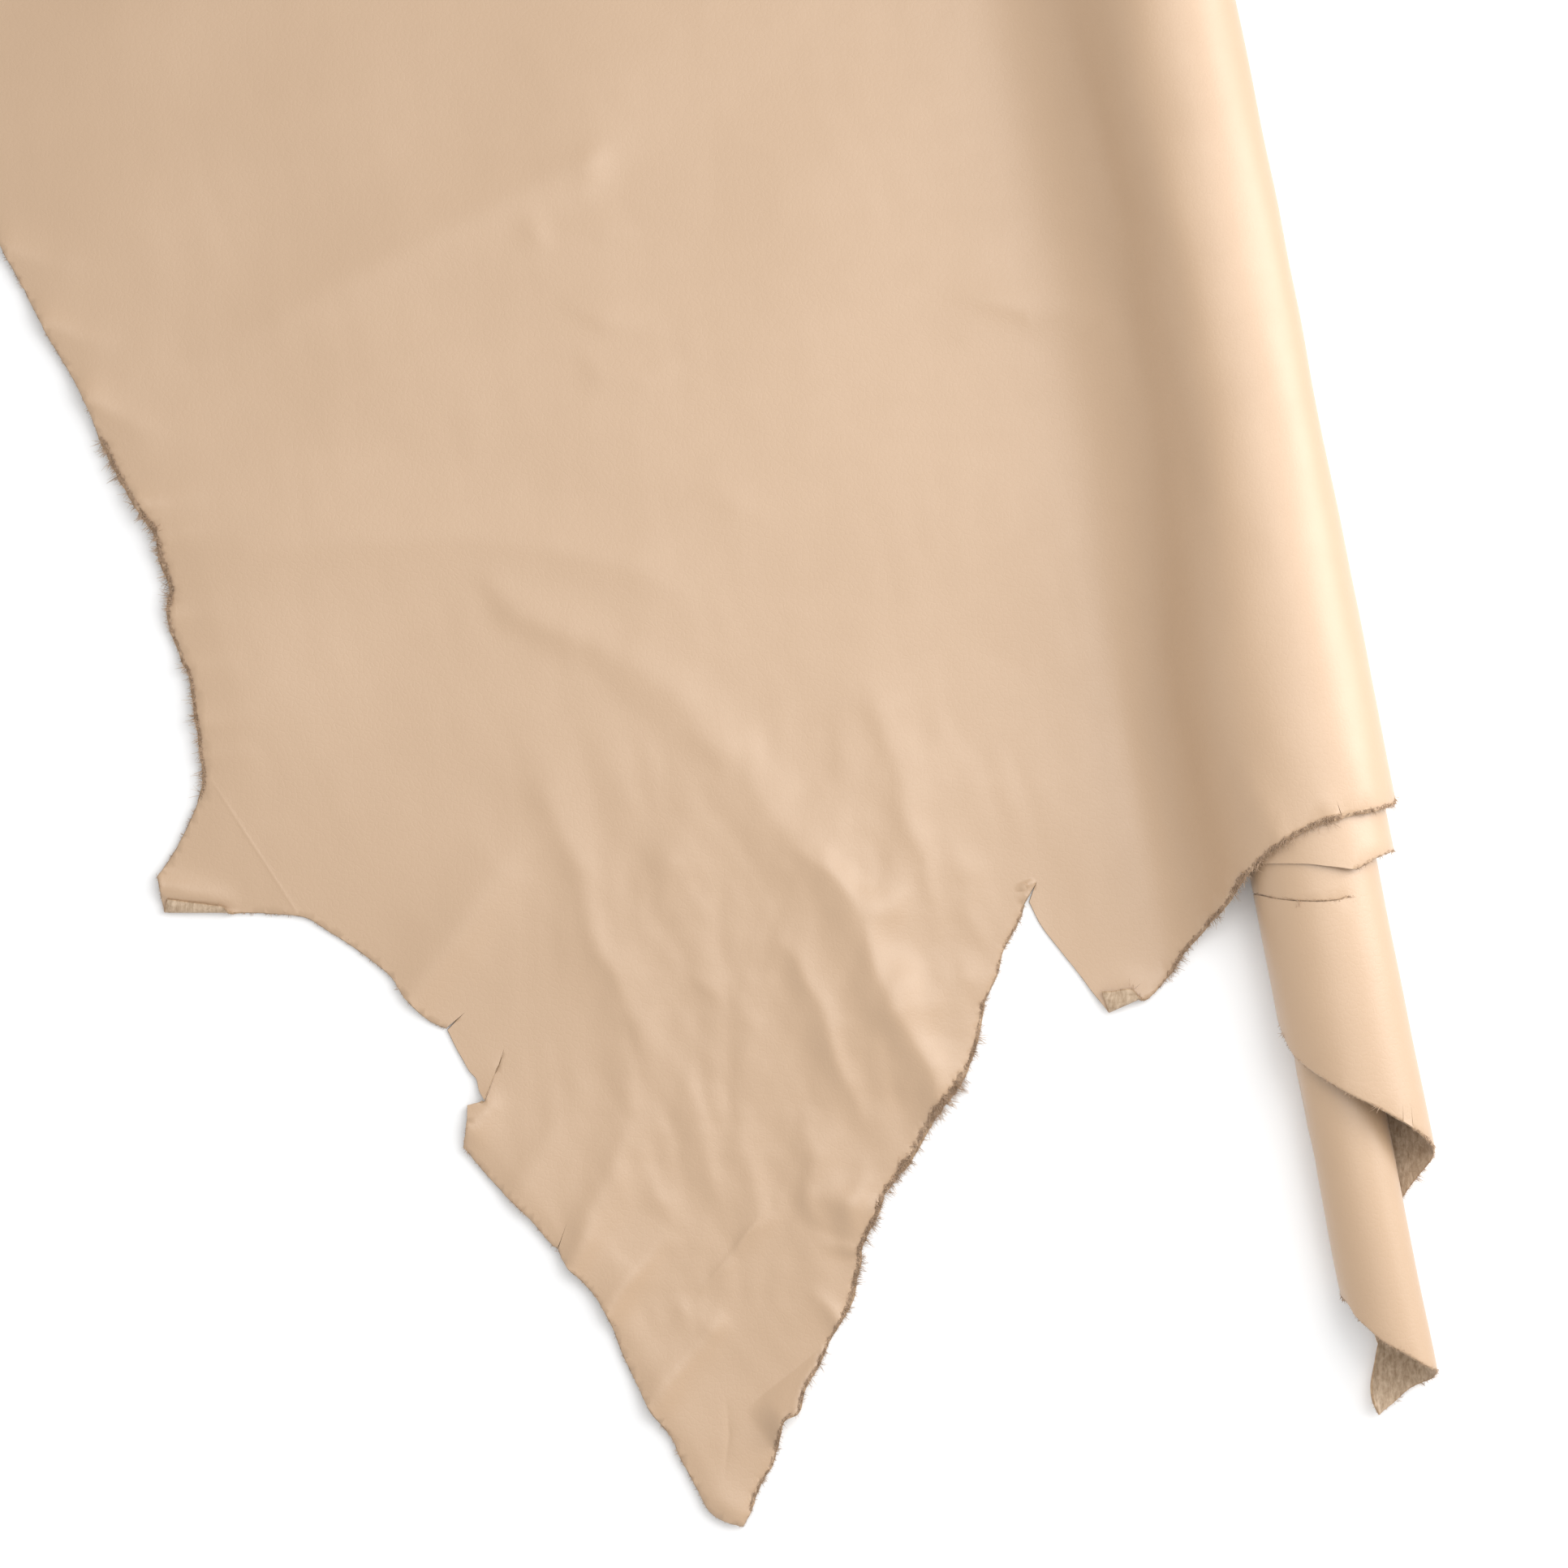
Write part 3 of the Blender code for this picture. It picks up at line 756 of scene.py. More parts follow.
    def section(self, wound: Array, along: Array) -> tuple[Array, Array]:
        """Gives the roll's bare section, without relief.

        Args:
            wound: Distance across the hide, on the sheet.
            along: Place along the roll.

        Returns:
            Across and height of the sheet's middle.
        """
        knots = np.array(self.knots())
        quarters = self.quarters()
        thinned, scale = self.shrink(along)
        edge = self.turns[0].right
        piece = np.clip(np.searchsorted(knots, wound, side="right") - 1, 0, len(knots) - 2)
        share = (wound - knots[piece]) / (knots[piece + 1] - knots[piece])
        ramp_share = np.clip((wound - knots[0]) / (knots[1] - knots[0]), 0, 1)
        ramp_across, ramp_height = self.ramp(ramp_share, thinned, scale)
        starts = np.array([quarter.first for quarter in quarters])
        ends = np.array([quarter.last for quarter in quarters])
        runs = np.array([quarter.run.value for quarter in quarters])
        number = np.clip(piece - 1, 0, len(quarters) - 1)
        start, end, run = starts[number], ends[number], runs[number]
        turned = share * math.pi / 2
        sine, cosine = np.sin(turned), np.cos(turned)
        level = run == Run.FROM_LEVEL.value
        straight = run == Run.STRAIGHT.value
        across = np.where(
            level,
            start[:, 0] + (end[:, 0] - start[:, 0]) * sine,
            end[:, 0] + (start[:, 0] - end[:, 0]) * cosine,
        )
        height = np.where(
            level,
            end[:, 1] + (start[:, 1] - end[:, 1]) * cosine,
            start[:, 1] + (end[:, 1] - start[:, 1]) * sine,
        )
        across = np.where(straight, start[:, 0] + (end[:, 0] - start[:, 0]) * share, across)
        height = np.where(straight, start[:, 1], height)
        sag = np.maximum(along - self.sag_from, 0.0) * self.sag_slope
        across = edge - (edge - across) * scale
        height = HALF + (height - HALF) * scale - sag
        on_ramp = piece == 0
        across = np.where(on_ramp, ramp_across, across)
        height = np.where(on_ramp, ramp_height, height)
        flat = wound <= self.ramp_start
        return np.where(flat, wound, across), np.where(flat, HALF, height)

    def place(self, wound: Array, along: Array) -> Array:
        """Gives world places of the sheet's middle, in millimetres from the row's origin.

        Args:
            wound: Distance across the hide, on the sheet.
            along: Place along the roll.

        Returns:
            One row of X, Y and Z for each point.
        """
        across, height = self.section(wound, along)
        ahead, behind = self.section(wound + SLOPE_STEP, along), self.section(wound - SLOPE_STEP, along)
        rise, run = ahead[1] - behind[1], ahead[0] - behind[0]
        length = np.hypot(rise, run)
        around, down = self.dent_scale
        dent = self.dent_depth * self.dents.height(wound * around, along * down)
        for wrinkle in self.wrinkles:
            dent = dent + wrinkle.height(wound, along)
        lift = smooth_step((wound - self.ramp_start - self.lift_from) / self.lift_reach)
        low = smooth_step((height - self.low_from) / self.low_reach)
        plan_x, plan_y = to_world(wound, along)
        flat_x, flat_y, flat_z = self.relief.place(plan_x, plan_y)
        keep = 1 - smooth_step((wound - self.ramp_start) / self.lift_reach)
        offset = dent * lift * low + (flat_z - HALF) * keep
        x, y = to_world(across - offset * rise / length, along)
        z = height + offset * run / length
        level = wound <= self.ramp_start
        x, y = np.where(level, flat_x, x), np.where(level, flat_y, y)
        z = np.where(level, flat_z, z)
        return np.stack([x - HIDE_CENTRE[0], y - HIDE_CENTRE[1], z], axis=1)

    def normal(self, wound: Array, along: Array) -> Array:
        """Gives the direction out of the grain side at each point.

        Args:
            wound: Distance across the hide, on the sheet.
            along: Place along the roll.

        Returns:
            One row for each point, a unit long.
        """
        over = self.place(wound + NORMAL_STEP, along) - self.place(wound - NORMAL_STEP, along)
        down = self.place(wound, along + NORMAL_STEP) - self.place(wound, along - NORMAL_STEP)
        out = np.cross(down, over)
        return out / np.linalg.norm(out, axis=1, keepdims=True)

    def wound_at(self, point: Wound) -> float:
        """Finds where on the sheet a point of the roll lies that is given as seen from above.

        Args:
            point: The point, by its turn, the turn's half, and its place across and along the roll.

        Returns:
            Its wound distance.
        """
        marks: list[float] = []
        knots = self.knots()
        on_ramp = (point.turn, point.half) == (0, Half.UPPER)
        if on_ramp:
            marks += knots[:2]
        for quarter, start, end in zip(self.quarters(), knots[1:], knots[2:]):
            if (quarter.turn, quarter.half) == (point.turn, point.half):
                marks += [start, end]
        low, high = marks[0], marks[-1]
        rising = 1 if point.half is Half.UPPER else -1
        along = np.array([float(point.along)])
        edge = self.turns[0].right
        scale = self.shrink(along)[1][0]
        target = point.across if on_ramp else edge - (edge - point.across) * scale
        for _ in range(HALVINGS):
            centre = (low + high) / 2
            if (self.section(np.array([centre]), along)[0][0] - target) * rising < 0:
                low = centre
            else:
                high = centre
        return (low + high) / 2


@dataclass(frozen=True)
class Stretch:
    """A stretch of the hide's edge.

    Attributes:
        name: What the stretch is.
        rough: How torn it is, from 0 for a clean cut to 1.
        points: Its points, in order round the hide.
        fuzz: Usual length of its loose fibres, in millimetres.
    """

    name: str
    rough: float
    points: tuple[Flat | Wound, ...]
    fuzz: float = 0.0


def laid(*rows: tuple[float, ...]) -> tuple[Flat, ...]:
    """Makes points of the edge that lie flat, from rows of X, Y and, at a corner, True."""
    return tuple(Flat(*row) for row in rows)


def rolled(turn: int, half: Half, *rows: tuple[float, ...]) -> tuple[Wound, ...]:
    """Makes points of the edge on half a turn, from rows of across, along and, at a corner, True."""
    return tuple(Wound(turn, half, *row) for row in rows)


UPPER, LOWER = Half.UPPER, Half.LOWER

EDGE: tuple[Stretch, ...] = (
    Stretch("neck and foreleg", 0.5, laid(
        (-141, 1473), (-274, 1424, True), (-304, 1367), (-330, 1270), (-402, 1169), (-503, 1087),
        (-627, 1042), (-734, 1041, True), (-748, 1003, True), (-683, 909), (-623, 819), (-593, 723),
        (-570, 574), (-528, 430),
    ), fuzz=1.2),
    Stretch("belly", 0.55, laid(
        (-483, 333), (-467, 303), (-451.5, 273), (-442, 258), (-434, 243), (-426.5, 228),
    ), fuzz=1.2),
    Stretch("ragged belly", 1.0, laid(
        (-421, 213), (-413.5, 198), (-406.5, 183), (-397, 168), (-386.5, 153), (-383.5, 138), (-378, 123),
    ), fuzz=4.2),
    Stretch("ragged belly, low", 0.8, laid(
        (-379.5, 108), (-376.5, 93), (-371, 78), (-365, 63), (-363.5, 48), (-360.5, 33), (-359, 18),
        (-357, 3),
    ), fuzz=2.8),
    Stretch("flank", 0.35, laid(
        (-360.5, -12), (-367.5, -27), (-375, -42), (-385.5, -57, True), (-379.5, -88.3, True),
        (-369, -86.3), (-355.5, -84.8), (-346, -83.8), (-341.5, -81.6), (-337.5, -79.4), (-328, -79),
        (-313, -79.5), (-302, -80.5), (-293, -82.5), (-285.5, -87), (-262.5, -102), (-243.5, -117),
        (-238, -124), (-233, -132), (-225.5, -140), (-216, -147),
    ), fuzz=1.0),
    Stretch("outer slits of the leg", 0.0, laid(
        (-208.3, -150.1, True), (-196.5, -140.5, True), (-207.1, -151.5, True), (-202, -162),
        (-197.5, -170), (-193.5, -177), (-189.5, -181.5), (-188, -188.5), (-185.2, -194.0, True),
        (-172, -162, True), (-184.0, -195.4, True), (-190, -196.8), (-194.8, -198, True),
    )),
    Stretch("outer side of the leg", 0.5, laid(
        (-195, -207), (-197, -223.5, True), (-185.5, -237), (-172.5, -252), (-157, -267), (-143.5, -282),
    ), fuzz=1.2),
    Stretch("short slit of the leg", 0.0, laid(
        (-139.3, -285.6, True), (-133.5, -270, True),
    )),
    Stretch("outer side of the leg, low", 0.5, laid(
        (-138.7, -286.1, True), (-133.5, -297), (-118.5, -312), (-109, -327), (-102.5, -342), (-96.5, -357),
        (-89, -372), (-81.5, -387), (-69, -402), (-62, -417), (-54, -432), (-46, -447), (-38, -453),
        (-25.5, -457, True),
    ), fuzz=1.2),
    Stretch("inner side of the leg, low", 0.55, laid(
        (-20.5, -447), (-14.5, -432), (-6.5, -417), (-2.5, -402), (1, -393), (9.5, -388), (13.5, -372),
        (22, -357), (28, -342),
    ), fuzz=2.2),
    Stretch("inner side of the leg", 1.0, laid(
        (37, -327), (43, -312), (46, -297), (48, -282), (56.5, -267), (62, -252),
    ), fuzz=3.8),
    Stretch("torn inner side of the leg", 1.0, laid(
        (73, -237), (83.5, -222), (91.5, -207), (103, -192),
    ), fuzz=6.5),
    Stretch("inner side of the leg, above the tear", 0.9, laid(
        (112, -177), (117.5, -162), (120.5, -147),
    ), fuzz=3.0),
    Stretch("inner side of the leg, high", 0.6, laid(
        (124, -132), (131, -117), (134.5, -102), (143, -87),
    ), fuzz=1.8),
    Stretch("clean cut of the rump", 0.04, laid(
        (147.8, -73.6, True), (155.6, -60, True), (151.2, -72.6, True), (158.5, -87), (170, -102),
        (182, -117), (190.5, -128.5), (199.3, -139.5),
    )),
    Stretch("turned corner of the rump", 0.6, laid(
        (207.2, -153.1, True), (211.8, -147.9), (218, -142.6), (220, -139.7), (220.5, -134.2),
        (224.5, -131.5, True),
    ), fuzz=1.7),
    Stretch("rump up the ramp", 0.6, rolled(
        0, UPPER, (210, 161.3), (223, 148.7), (238, 136.3),
    ), fuzz=2.9),
    Stretch("rump over the roll", 0.8, rolled(
        0, UPPER, (253, 124), (265, 111.1), (283, 99.5), (300, 91.5), (316, 88.1),
    ), fuzz=3.8),
    Stretch("nick of the rump", 0.0, rolled(
        0, UPPER, (329.6, 87.0, True), (328.4, 75.4, True),
    )),
    Stretch("rump round the roll", 0.6, (
        *rolled(0, UPPER, (330.4, 87.0, True), (337, 86.2), (357, 86.2)),
        *rolled(0, LOWER, (362, 82.5), (330, 92), (280, 99)),
    ), fuzz=2.2),
    Stretch("clean cut of the second turn", 0.06, rolled(
        1, UPPER, (274.4, 104.3), (301.3, 109.7), (315.8, 114.1), (329.5, 118.8, True),
    )),
    Stretch("fuzzy cut of the second turn", 0.4, (
        *rolled(1, UPPER, (333.1, 119.1), (346.2, 115.1), (357.6, 113.1)),
        *rolled(1, LOWER, (330, 114), (276, 121)),
    ), fuzz=1.7),
    Stretch("slit of the third turn", 0.1, rolled(
        2, UPPER, (273, 123.2), (285, 128.4), (299.4, 132.3), (316.6, 135.2), (325.4, 134.9, True),
    ), fuzz=1.6),
    Stretch("lower lip of the slit", 0.0, (
        *rolled(2, UPPER, (316.6, 136.0), (299.4, 133.2), (285, 129.2), (273, 124.2)),
        *rolled(1, LOWER, (276, 122.0, True), (290, 145, True), (287, 172, True)),
    )),
    Stretch("second leg on the third turn", 0.25, rolled(
        2, UPPER, (270.1, 205.5, True), (271.5, 214.2), (274.4, 224.2), (285.8, 238.7), (298.7, 250.4),
        (316.4, 264.2),
    ), fuzz=1.5),
    Stretch("nicks of the second leg", 0.0, rolled(
        2, UPPER, (330.6, 276.4, True), (332.6, 266, True), (330.9, 276.7, True), (335.8, 281.4, True),
        (337.4, 266, True),
    )),
    Stretch("second leg round the third turn", 0.3, (
        *rolled(2, UPPER, (336.1, 281.7, True), (344.5, 291.5)),
        *rolled(2, LOWER, (345.3, 303.1), (337.7, 310.3), (323.9, 323.3), (284, 364)),
    ), fuzz=1.7),
    Stretch("second leg on the fourth turn", 0.25, (
        *rolled(3, UPPER, (277.3, 380.3), (279.9, 387.9), (286.9, 398.5), (293, 406.4), (306, 417.6),
            (316.8, 427.4)),
        *rolled(3, LOWER, (321, 434.4), (317.5, 436.8), (311.1, 438), (304.1, 440.2), (292.6, 446.6),
            (282.6, 451.7, True)),
    ), fuzz=1.5),
    Stretch("outer side of the second leg", 0.1, (
        *rolled(3, LOWER, (280.6, 443.3), (280.8, 437.8), (285.5, 423.7), (291.3, 409.6, True), (286, 380)),
        *rolled(4, UPPER, (298, 330)),
        *rolled(4, LOWER, (305, 250), (287, 160, True), (287, -1080, True)),
    )),
    Stretch("neck in the roll", 0.4, (
        *rolled(4, UPPER, (298, -1150)),
        *rolled(3, LOWER, (301, -1205)),
        *rolled(2, LOWER, (312, -1300)),
        *rolled(2, UPPER, (310, -1400)),
        *rolled(1, LOWER, (316, -1455, True)),
        *rolled(1, UPPER, (311, -1474)),
        *rolled(0, LOWER, (318, -1480)),
        *rolled(0, UPPER, (306, -1478)),
    ), fuzz=1.0),
)


@dataclass(frozen=True)
class EdgeLine:
    """The hide's edge as a closed line on the plan.

    Attributes:
        form: The roll's form.
        fine_step: Spacing of the line's points where the edge is seen close.
        coarse_step: Spacing elsewhere.
        seen_y: World Y up to which the flat edge is seen close.
        seen_along: Place along the roll from which its edge is seen close.
        seen_turns: Number of turns whose edge is seen.
        ragged: How far a fully rough edge wanders, in millimetres.
        wander: The field that it wanders by.
        calm_from: How straight the line has to be for it to wander at all, where 1 is straight.
        calm_reach: How much straighter it has to be to wander fully.
    """

    form: RollForm
    fine_step: float = 2.0
    coarse_step: float = 6.0
    seen_y: float = 520.0
    seen_along: float = -520.0
    seen_turns: int = 4
    ragged: float = 0.55
    wander: Ripples = Ripples(21, 40.0, 5.0, 26)
    calm_from: float = 0.7
    calm_reach: float = 0.3

    def controls(self) -> list[tuple[float, float, bool, float, float, bool]]:
        """Lists the edge's points.

        Returns:
            For each point its wound, along, corner, rough, fuzz, and whether what follows is seen close.
        """
        found = []
        for stretch in EDGE:
            for point in stretch.points:
                if isinstance(point, Flat):
                    wound, along = to_plan(point.x, point.y)
                    fine = point.y < self.seen_y
                else:
                    wound, along = self.form.wound_at(point), point.along
                    fine = along > self.seen_along and point.turn < self.seen_turns
                found.append((wound, along, point.corner, stretch.rough, stretch.fuzz, fine))
        return found

    def points(self) -> tuple[Array, Array, Array]:
        """Gives the line's points and how rough the edge is at each.

        Returns:
            The points as wound and along, their roughness, and the usual length of their fibres.
        """
        controls = self.controls()
        line: list[tuple[float, float]] = []
        rough: list[tuple[float, float]] = []
        count = len(controls)
        for index, (wound, along, corner, roughness, fuzz, fine) in enumerate(controls):
            start, end = np.array([wound, along]), np.array(controls[(index + 1) % count][:2])
            before = start if corner else np.array(controls[index - 1][:2])
            last_corner = controls[(index + 1) % count][2]
            after = end if last_corner else np.array(controls[(index + 2) % count][:2])
            length = np.linalg.norm(end - start)
            parts = max(1, round(length / (self.fine_step if fine else self.coarse_step)))
            lead = (end - before) / (length + np.linalg.norm(start - before)) * length
            trail = (after - start) / (np.linalg.norm(after - end) + length) * length
            for part in range(parts):
                line.append(tuple(bezier(start, start + lead / 3, end - trail / 3, end, part / parts)))
                rough.append((roughness, fuzz))
        roughness, fuzz = np.array(rough).T
        return self.roughened(np.array(line), roughness), roughness, fuzz

    def roughened(self, line: Array, rough: Array) -> Array:
        """Moves each point of the line a little aside, by how rough the edge is there.

        Args:
            line: The line's points.
            rough: Roughness at each.

        Returns:
            The moved points. Those at corners stay.
        """
        steps = np.linalg.norm(line - np.roll(line, 1, axis=0), axis=1)
        run = np.cumsum(steps)
        tangent = np.roll(line, -1, axis=0) - np.roll(line, 1, axis=0)
        aside = np.stack([tangent[:, 1], -tangent[:, 0]], axis=1)
        aside /= np.maximum(np.linalg.norm(aside, axis=1, keepdims=True), TINY)
        wander = self.wander.height(run, np.zeros_like(run))
        before = np.roll(line, 1, axis=0) - line
        after = np.roll(line, -1, axis=0) - line
        straight = -(before * after).sum(axis=1) / np.maximum(
            np.linalg.norm(before, axis=1) * np.linalg.norm(after, axis=1), TINIER
        )
        calm = smooth_step((straight - self.calm_from) / self.calm_reach)
        return line + aside * (wander * self.ragged * rough * calm)[:, None]


# Places with a finer grid, where the first that a point lies in counts: the notch of the rump, three places of
# the leg's edge, and the whole leg.
FINE_AREAS = (
    FineArea(150.0, -67.0, 11.0, 1.3),
    FineArea(-202.0, -146.0, 12.0, 2.2),
    FineArea(-178.0, -180.0, 24.0, 1.8),
    FineArea(-136.0, -278.0, 10.0, 2.2),
    FineArea(20.0, -210.0, 175.0, 3.2),
)


@dataclass(frozen=True)
class PlanGrid:
    """Points that fill the plan inside the hide's edge.

    Attributes:
        form: The roll's form.
        near: Spacing on the flat part that the camera sees.
        far: Spacing on the rest of the flat part.
        quarter_parts: Columns in a quarter of each turn.
        ramp_parts: Columns on the ramp.
        near_row: Spacing of the roll's rows that the camera sees.
        far_row: Spacing of its other rows.
        view: Lowest X, lowest Y, highest X and highest Y of what the camera sees of the flat part.
        whole: Lowest X, highest X and highest Y of the whole flat part.
        neck_row: Place of the roll's first row, at the neck end.
        seen_row: Place of the first row that the camera sees.
        low_row: Place from which the inner turns show.
        hind_row: Place past the last row, at the hind end.
        low_turn: The first turn that shows at the hind end alone.
        curl_gap: Room that the grid leaves round the close-set points of curls and creases.
        band_gap: Room that it leaves round the points along the torn edge.
        fine_areas: Places with a finer grid.
    """

    form: RollForm
    near: float
    far: float
    quarter_parts: tuple[int, ...]
    ramp_parts: int
    near_row: float
    far_row: float
    view: tuple[float, float, float, float] = (-500.0, -475.0, 420.0, 505.0)
    whole: tuple[float, float, float] = (-760.0, 420.0, 1500.0)
    neck_row: float = -1480.0
    seen_row: float = -500.0
    low_row: float = 300.0
    hind_row: float = 460.0
    low_turn: int = 3
    curl_gap: float = 2.0
    band_gap: float = 1.6
    fine_areas: tuple[FineArea, ...] = ()

    def roll_columns(self) -> list[tuple[float, int]]:
        """Lists the columns of the ramp and the roll.

        Returns:
            The wound distance and the turn of each.
        """
        knots = self.form.knots()
        spans = [(knots[0], knots[1], self.ramp_parts, 0)]
        for quarter, start, end in zip(self.form.quarters(), knots[1:], knots[2:]):
            parts = 1 if quarter.run is Run.STRAIGHT else self.quarter_parts[quarter.turn]
            spans.append((start, end, parts, quarter.turn))
        return [
            (start + (end - start) * part / parts, turn)
            for start, end, parts, turn in spans
            for part in range(parts)
        ]

    def flat_points(self) -> Array:
        """Gives the grid of the flat part, also outside the edge.

        Returns:
            The points, as rows of world X and Y.
        """
        left, low, right, high = self.view
        first, last, top = self.whole
        near_x, near_y = np.meshgrid(np.arange(left, right, self.near), np.arange(low, high, self.near))
        far_x, far_y = np.meshgrid(np.arange(first, last, self.far), np.arange(low, top, self.far))
        outside = (far_x < left - self.far / 2) | (far_y > high + self.far / 2)
        blocks = [np.stack([far_x[outside], far_y[outside]], axis=1)]
        blocks.append(self.clear_of(np.stack([near_x.ravel(), near_y.ravel()], axis=1), self.fine_areas))
        for number, area in enumerate(self.fine_areas):
            reach = np.arange(-area.radius, area.radius, area.step)
            grid_x, grid_y = (values.ravel() for values in np.meshgrid(area.x + reach, area.y + reach))
            inner = np.hypot(grid_x - area.x, grid_y - area.y) < area.radius
            points = np.stack([grid_x[inner], grid_y[inner]], axis=1)
            blocks.append(self.clear_of(points, self.fine_areas[:number]))
        return np.concatenate(blocks)

    def candidates(self) -> Array:
        """Gives all grid points, also those outside the edge.

        Returns:
            The points, as rows of wound and along.
        """
        plain = self.flat_points()
        relief = self.form.relief
        fine = np.concatenate([shape.fine_points() for shape in relief.curls + relief.creases])
        plain = np.concatenate([plain[gaps_to(fine, plain) > self.curl_gap], fine])
        wound, along = to_plan(plain[:, 0], plain[:, 1])
        flat = wound < self.form.ramp_start - self.near * RAMP_ROOM
        grid = [np.stack([wound[flat], along[flat]], axis=1)]
        seen = np.arange(self.seen_row, self.hind_row, self.near_row)
        unseen = np.arange(self.neck_row, self.seen_row, self.far_row)
        hidden = np.arange(self.neck_row, self.low_row, self.far_row * HIDDEN_ROW_SHARE)
        lowest = np.arange(self.low_row, self.hind_row, self.near_row)
        for wound_at, turn in self.roll_columns():
            rows = np.concatenate([unseen, seen] if turn < self.low_turn else [hidden, lowest])
            grid.append(np.stack([np.full_like(rows, wound_at), rows], axis=1))
        return np.concatenate(grid)

    @staticmethod
    def clear_of(points: Array, areas: tuple[FineArea, ...]) -> Array:
        """Drops the points that lie in areas with a finer grid.

        Args:
            points: The points, as rows of world X and Y.
            areas: The areas.

        Returns:
            The points kept.
        """
        kept = np.ones(len(points), bool)
        for area in areas:
            kept &= np.hypot(points[:, 0] - area.x, points[:, 1] - area.y) >= area.radius
        return points[kept]

    def inside(self, edge: Array, clear: float, band: Array) -> Array:
        """Keeps the grid points that lie within the edge and clear of it.

        Args:
            edge: The edge's points.
            clear: Distance to keep from the edge's points.
            band: Points close along the edge that the grid makes room for.

        Returns:
            The points kept.
        """
        points = self.candidates()
        points = np.concatenate([points[gaps_to(band, points) > self.band_gap], band])
        start, end = edge, np.roll(edge, -1, axis=0)
        drop = np.where(np.abs(end[:, 1] - start[:, 1]) < TINIER, TINIER, end[:, 1] - start[:, 1])
        kept = np.zeros(len(points), bool)
        for first in range(0, len(points), BLOCK_SIZE):
            block = points[first : first + BLOCK_SIZE]
            across = (start[None, :, 1] > block[:, None, 1]) != (end[None, :, 1] > block[:, None, 1])
            share = (block[:, None, 1] - start[None, :, 1]) / drop[None, :]
            cut = start[None, :, 0] + share * (end[:, 0] - start[:, 0])[None, :]
            odd = (across & (block[:, None, 0] < cut)).sum(axis=1) % 2 == 1
            kept[first : first + BLOCK_SIZE] = odd
        points = points[kept]
        return points[gaps_to(edge, points) > clear]


def plan_tree(points: Array) -> KDTree:
    """Makes a tree that finds the nearest of some points of the plan.

    Args:
        points: The points, as rows of two coordinates.

    Returns:
        The tree.
    """
    tree = KDTree(len(points))
    for index, (first, second) in enumerate(points):
        tree.insert((first, second, 0), index)
    tree.balance()
    return tree


def gaps_to(marks: Array, points: Array) -> Array:
    """Gives the distance from each point to the nearest mark.

    Args:
        marks: The marks, as rows of two coordinates.
        points: The points, in the same coordinates.

    Returns:
        The distances.
    """
    tree = plan_tree(marks)
    return np.array([tree.find((first, second, 0))[2] for first, second in points])


def triangulate(edge: Array, inner: Array) -> Array:
    """Fills a closed line with triangles.

    Args:
        edge: The line's points.
        inner: Points inside it.

    Returns:
        Triangles, as indices into the edge's points followed by the inner ones.
    """
    points = [Vector((wound, along * SQUEEZE)) for wound, along in np.concatenate([edge, inner])]
    count = len(edge)
    links = [(index, (index + 1) % count) for index in range(count)]
    result = delaunay_2d_cdt(points, links, [], 1, MERGE_GAP)
    if len(result[0]) != len(points):
        LOG.warning("the edge meets itself: %d points became %d", len(points), len(result[0]))
    order = np.array([source[0] if source else 0 for source in result[3]])
    triangles = order[np.array(result[2])]
    first, second, third = (np.array(points)[triangles[:, corner]] for corner in range(3))
    turn = (second - first)[:, 0] * (third - first)[:, 1] - (second - first)[:, 1] * (third - first)[:, 0]
    triangles[turn > 0] = triangles[turn > 0][:, [0, 2, 1]]
    return triangles


class NodeBuilder:
    """Adds nodes to a tree and links them."""

    def __init__(self, tree: bpy.types.NodeTree) -> None:
        """Keeps the tree."""
        self.tree = tree

    def add(self, kind: str, inputs: dict | None = None, **settings: object) -> bpy.types.Node:
        """Adds a node.

        Args:
            kind: The node's type.
            inputs: For each input's name or number, a value or the socket that feeds it.
            **settings: Properties of the node.

        Returns:
            The node.
        """
        node = self.tree.nodes.new(kind)
        for name, value in settings.items():
            setattr(node, name, value)
        for key, value in (inputs or {}).items():
            self.feed(node.inputs[key], value)
        return node

    def feed(self, socket: bpy.types.NodeSocket, value: object) -> None:
        """Links another socket to an input, or sets the input's value.

        Args:
            socket: The input.
            value: The socket that feeds it, or its value.
        """
        if isinstance(value, bpy.types.NodeSocket):
            self.tree.links.new(value, socket)
        else:
            socket.default_value = value

    def math(self, operation: str, first: object, second: object = 0.0) -> bpy.types.NodeSocket:
        """Adds a Math node and gives its result."""
        return self.add("ShaderNodeMath", {0: first, 1: second}, operation=operation).outputs[0]

    def spread(self, value: object, low: float, high: float) -> bpy.types.NodeSocket:
        """Stretches values between low and high to 0 to 1, and gives the result."""
        inputs = {"Value": value, "From Min": low, "From Max": high}
        return self.add("ShaderNodeMapRange", inputs).outputs["Result"]

    def mix(self, share: object, first: object, second: object) -> bpy.types.NodeSocket:
        """Mixes two colours.

        Args:
            share: The second colour's share.
            first: The first colour.
            second: The second colour.

        Returns:
            The result.
        """
        node = self.add("ShaderNodeMix", data_type="RGBA", clamp_factor=True)
        for name, value in (("Factor", share), ("A", first), ("B", second)):
            self.feed(next(item for item in node.inputs if item.name == name and item.enabled), value)
        return live(node.outputs)[0]


def live(sockets: Iterable[bpy.types.NodeSocket]) -> list[bpy.types.NodeSocket]:
    """Lists the sockets that the node's settings leave in use."""
    return [socket for socket in sockets if socket.enabled]


